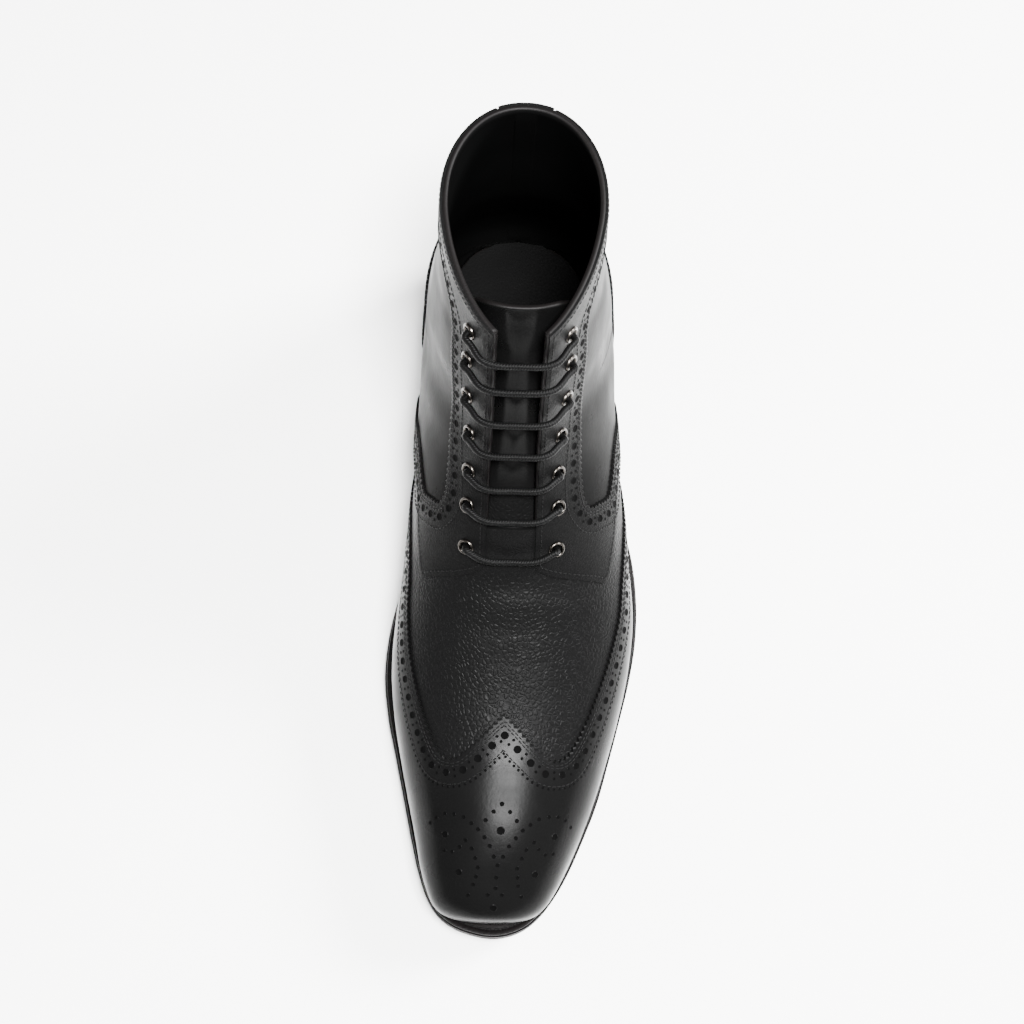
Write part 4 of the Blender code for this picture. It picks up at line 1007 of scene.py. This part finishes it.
# Back strip. A narrow strip over the closed back seam, from the collar to the counter, with a seam
# near all its edges. Lower and upper station, half width and seam's half width in degrees.
STRIP = (22.1, COLLAR, 19.5, 16.8)
strip_s = np.concatenate([[STRIP[0]] * 2, np.linspace(STRIP[0], STRIP[1], 60), [STRIP[1]] * 2])
strip_a = -90 + STRIP[2] * np.concatenate([[-1, -1], np.linspace(-1, 1, 40), [1, 1]])
strip_s, strip_a = np.broadcast_arrays(strip_s[:, None], strip_a[None, :])
strip_lift = np.full(strip_s.shape, SHEET_LIFT)
strip_lift[1], strip_lift[-2] = SHEET_LIFT - 0.0003, SHEET_LIFT - 0.0003
strip_lift[:, 1], strip_lift[:, -2] = SHEET_LIFT - 0.0003, SHEET_LIFT - 0.0003
strip_lift[0], strip_lift[-1] = -0.0002, -0.0002
strip_lift[:, 0], strip_lift[:, -1] = -0.0002, -0.0002
strip_points = skin(strip_s, strip_a, strip_lift)
strip = add_piece("back_strip_sheet", strip_points, grid_quads(*strip_s.shape), [fine_grain],
                  facing=skin(strip_s, strip_a, strip_lift + 0.001) - strip_points, weld=1e-5)
settle(strip, "smooth_leather", "back_strip")
tall = np.linspace(STRIP[0] + 0.15, COLLAR - 0.02, 60)
wide_turn = np.linspace(-1, 1, 40)
strip_lines = [(tall, tall * 0 - 90 - STRIP[3]), (tall, tall * 0 - 90 + STRIP[3]),
               (wide_turn * 0 + 24.25, -90 + STRIP[3] * wide_turn),
               (wide_turn * 0 + 22.25, -90 + STRIP[3] * wide_turn)]
settle(stitch_line("back_strip_seams", strip_lines), "smooth_leather")
# The lining's own back seam is covered by a narrow strip inside
seam_s, seam_a = np.broadcast_arrays(np.linspace(17.6, COLLAR - 0.1, 70)[:, None],
                                     np.linspace(-99, -81, 14)[None, :])
seam_lift = np.full(seam_s.shape, -WALL - 0.0005)
seam_lift[:, 0] = seam_lift[:, -1] = seam_lift[0] = seam_lift[-1] = -WALL + 0.0001
seam_points = skin(seam_s, seam_a, seam_lift)
lining_strip = add_piece("lining_back_strip", seam_points, grid_quads(*seam_s.shape), [lining],
                         facing=skin(seam_s, seam_a, seam_lift - 0.001) - seam_points)
settle(lining_strip, "lining_leather")

# Tongue. Soft calf, sewn in under the vamp and up to the collar, lying inside the facings.
TONGUE_DROP = np.array([(11.3, 2.1), (13.0, 2.3), (16.0, 3.4), (20.0, 5.0), (23.0, 6.4), (25.0, 7.6)])
TONGUE_ANGLE = 34.0
TONGUE_THICK = 0.0018
SKIN_GAP = 0.0004


def tongue_points(station, angle, lift):
    """The upper's sections, narrower, rounder and with a lower ridge, plus the tongue's own soft rolls."""
    station, angle = np.broadcast_arrays(np.asarray(station, float), np.asarray(angle, float))
    rows = section_rows(station).copy()
    drop = smooth(TONGUE_DROP[:, 0], TONGUE_DROP[:, 1:], station)[..., 0] * WALL
    share = 1 - drop / np.hypot(rows[..., 2] - rows[..., 0], rows[..., 3] - rows[..., 1])
    rows[..., 7] = rows[..., 7] / share
    rows[..., 2] = rows[..., 0] + (rows[..., 2] - rows[..., 0]) * share
    rows[..., 3] = rows[..., 1] + (rows[..., 3] - rows[..., 1]) * share
    rows[..., 4] -= 2 * WALL + 2 * SKIN_GAP
    rows[..., 9] += 0.1 + 0.9 * np.clip((station - 22.0) / 3.0, 0, 1)
    roll = 0.00015 * np.sin(station * 2 * math.pi / 1.9 + 1.0) * np.exp(-((angle - 90) / 22) ** 2)
    return section_points(rows, angle, lift + roll)


tongue_s, across = np.broadcast_arrays(np.linspace(TONGUE_DROP[0, 0], COLLAR, 150)[:, None],
                                       np.linspace(-1, 1, 70)[None, :])
tongue_a = 90 + across * (TONGUE_ANGLE + 12.0 * np.clip((tongue_s - 20.0) / 5.0, 0, 1))
# Its top corners are rounded off
tongue_s = tongue_s - 1.2 * across**4 * np.clip((tongue_s - 21.0) / 4.0, 0, 1)
top = tongue_points(tongue_s, tongue_a, 0.0)
# Its foot, up to this station, is the vamp's own pebbled leather
TONGUE_GRAIN = 14.4
tongue_faces = grid_quads(*tongue_s.shape)
polished = (tongue_s.ravel()[tongue_faces[:, 0]] > TONGUE_GRAIN).astype(int)
tongue = add_piece("tongue_sheet", top, tongue_faces, [scotch_grain, calf, lining, cut_edge], slots=polished,
                   facing=tongue_points(tongue_s, tongue_a, 0.001) - top)
thick = tongue.modifiers.new("wall", "SOLIDIFY")
thick.thickness = TONGUE_THICK
thick.offset = -1
thick.material_offset = 1
thick.material_offset_rim = 2
settle(tongue, "smooth_leather", "tongue")

# Eyelets. Small rolled brass rings, dark nickel plated, set through the facings.
# Dark nickel plate over brass, tumbled: smoky metal with small sharp glints
nickel = new_finish("nickel_dark_plated", "#3a3734", 0.28, Metallic=1.0)
roughen(nickel, 0.0012, 0.00002, 0.05)
turn = np.linspace(0, math.pi, 9)
roll_radius = (EYELET_RADIUS - EYELET_HOLE) / 2
ring_profile = np.column_stack([
    np.concatenate([EYELET_HOLE + roll_radius + roll_radius * np.cos(turn), [EYELET_HOLE, EYELET_HOLE]]),
    np.concatenate([0.00095 * np.sin(turn), [-0.0010, -0.0016]]),
])
eyelet_frames = []
for name, angles in (("outer", EYELETS[:, 1]), ("inner", 180 - EYELETS[:, 1])):
    point, normal, by_s, _ = skin_frame(EYELETS[:, 0], angles, SHEET_LIFT)
    east = by_s / np.linalg.norm(by_s, axis=-1)[:, None]
    north = np.cross(normal, east)
    eyelet_frames.append((point, normal))
    for i in range(len(EYELETS)):
        one = np.s_[i:i + 1]
        ring = turned(ring_profile, point[one], east[one], north[one], normal[one], 32)
        eyelet = add_piece("eyelet_ring_%s_%d" % (name, i + 1), ring, grid_quads(len(ring_profile), 32, True),
                           [nickel], facing=np.broadcast_to(normal[i], (len(ring_profile) * 32, 3)),
                           weld=0.0, sharp=60)
        settle(eyelet, "eyelet_metal", "eyelet_%s_%d" % (name, i + 1))

# Lace. One round waxed cotton cord, 2.6 mm thick, in seven straight bars through the eyelets.
# Waxed cotton, tightly braided: black, slightly greasy, with a fine slanted rib
LACE_RADIUS = 0.0013
LACE_SAG = 0.0045
cord = new_finish("cotton_cord_waxed", "#050505", 0.42, IOR=1.13)
tree = cord.node_tree
place = add_node(tree, "ShaderNodeUVMap", {}, uv_map="braid")
braid = add_node(tree, "ShaderNodeTexWave", {"Vector": place.outputs["UV"], "Scale": 1.0, "Distortion": 0.0},
                 wave_type="BANDS", bands_direction="DIAGONAL")
rib = add_node(tree, "ShaderNodeBump", {"Height": braid.outputs["Fac"], "Distance": 0.00012, "Strength": 1.0})
tree.links.new(rib.outputs["Normal"], tree.nodes["Principled BSDF"].inputs["Normal"])
for i, (station, angle) in enumerate(EYELETS):
    brim = throat_angle(np.array([station]), THROAT_GAP)
    sides = []
    ridge = skin(np.array([station - 0.2, station]), np.array([90.0, 90.0]))
    toeward = (ridge[0] - ridge[1]) / np.linalg.norm(ridge[0] - ridge[1])
    edges = [skin_frame(np.array([station]), turn, SHEET_LIFT) for turn in (brim, 180 - brim)]
    for (point, normal), edge in zip(eyelet_frames, edges):
        eye, out = point[i], normal[i]
        rise = EYELET_THICK + 2 * GAP + LACE_RADIUS
        inward = (edge[0][0] - eye) / np.linalg.norm(edge[0][0] - eye)
        near = eye + (edge[0][0] - eye) * 0.38 + toeward * LACE_SAG * 0.24
        over = eye + (edge[0][0] - eye) * 0.84 + toeward * LACE_SAG * 0.72
        sides.append([eye - out * 0.0040 - inward * 0.0004, eye - out * 0.0016 - inward * 0.0002,
                      eye + out * 0.0006 + inward * 0.0001, eye + inward * 0.0011 + out * (rise + 0.0001),
                      near + out * rise * 1.15, over + (out + edge[1][0]) / 2 * rise * 1.25])
    middle_out = (edges[0][1][0] + edges[1][1][0]) / 2
    middle_point = (edges[0][0][0] + edges[1][0][0]) / 2 + toeward * LACE_SAG + middle_out * rise * 1.15
    route = np.array(sides[0] + [middle_point] + sides[1][::-1])
    knots = np.concatenate([[0], np.cumsum(np.linalg.norm(np.diff(route, axis=0), axis=1))])
    line = smooth(knots, route, np.linspace(0, knots[-1], 120))
    step = np.gradient(line, axis=0)
    step /= np.linalg.norm(step, axis=1)[:, None]
    flat = np.cross(step, toeward)
    flat /= np.linalg.norm(flat, axis=1)[:, None]
    other = np.cross(step, flat)
    spin = np.linspace(0, 2 * math.pi, 17)[:16]
    ring = np.cos(spin)[None, :, None] * flat[:, None] + np.sin(spin)[None, :, None] * other[:, None]
    tube = line[:, None] + ring * LACE_RADIUS
    faces = grid_quads(len(line), 16, True).tolist()
    faces += [tuple(range(16)), tuple(range(119 * 16, 120 * 16))]
    lace = add_piece("lace_run_%d" % (i + 1), tube, faces, [cord], weld=0.0, sharp=80)
    layer = lace.data.uv_layers.new(name="braid")
    vertex = np.empty(len(lace.data.loops), np.int32)
    lace.data.loops.foreach_get("vertex_index", vertex)
    uv = np.column_stack([(vertex // 16) * (knots[-1] / 119) / 0.0016, (vertex % 16) / 16 * 3])
    layer.data.foreach_set("uv", uv.ravel().astype(np.float32))
    settle(lace, "lace_cord", "lace_bar_%d" % (i + 1))

# Floor. A plain white sweep, wide enough for every view.
paper = new_finish("paper_white_matt", "#f6f6f5", 0.9)
roughen(paper, 0.02, 0.00002)
span = 6.0
floor_points = np.array([(-span, -span, 0.0), (span, -span, 0.0), (span, span, 0.0), (-span, span, 0.0)])
floor = add_piece("floor_sweep", floor_points, [(0, 1, 2, 3)], [paper],
                  facing=np.tile([0.0, 0.0, 1.0], (4, 1)))

# Light. A soft box almost overhead, one high on the outer side, a faint low one on the inner side.
AIM = Vector((-0.005, 0.0, 0.06))


def soft_box(name, place, size, power):
    """A square area light at a place, turned to the boot."""
    light = bpy.data.lights.new(name, "AREA")
    light.shape = "SQUARE"
    light.size = size
    light.energy = power
    lamp = bpy.data.objects.new(name, light)
    lamp.location = place
    lamp.rotation_euler = (AIM - Vector(place)).to_track_quat("-Z", "Y").to_euler()
    bpy.context.scene.collection.objects.link(lamp)


soft_box("top_box", (0.14, -0.27, 1.40), 0.34, 145.0)
soft_box("right_box", (1.10, 0.45, 1.00), 0.5, 105.0)
soft_box("left_box", (-1.20, 0.10, 0.55), 0.4, 7.0)
world = bpy.data.worlds.new("pale_room")
world.use_nodes = True
world.node_tree.nodes["Background"].inputs["Color"].default_value = to_linear("#ffffff")
world.node_tree.nodes["Background"].inputs["Strength"].default_value = 0.4
bpy.context.scene.world = world

# Camera. The photograph's view, from above and in front of the toe, a little rolled.
camera = bpy.data.cameras.new("camera")
camera.lens = 72.0
camera.sensor_width = 36.0
eye = bpy.data.objects.new("camera", camera)
eye.location = (-0.0155, -0.2187, 0.8444)
eye.rotation_euler = (0.2878, -0.0243, 0.0233)
bpy.context.scene.collection.objects.link(eye)
bpy.context.scene.camera = eye
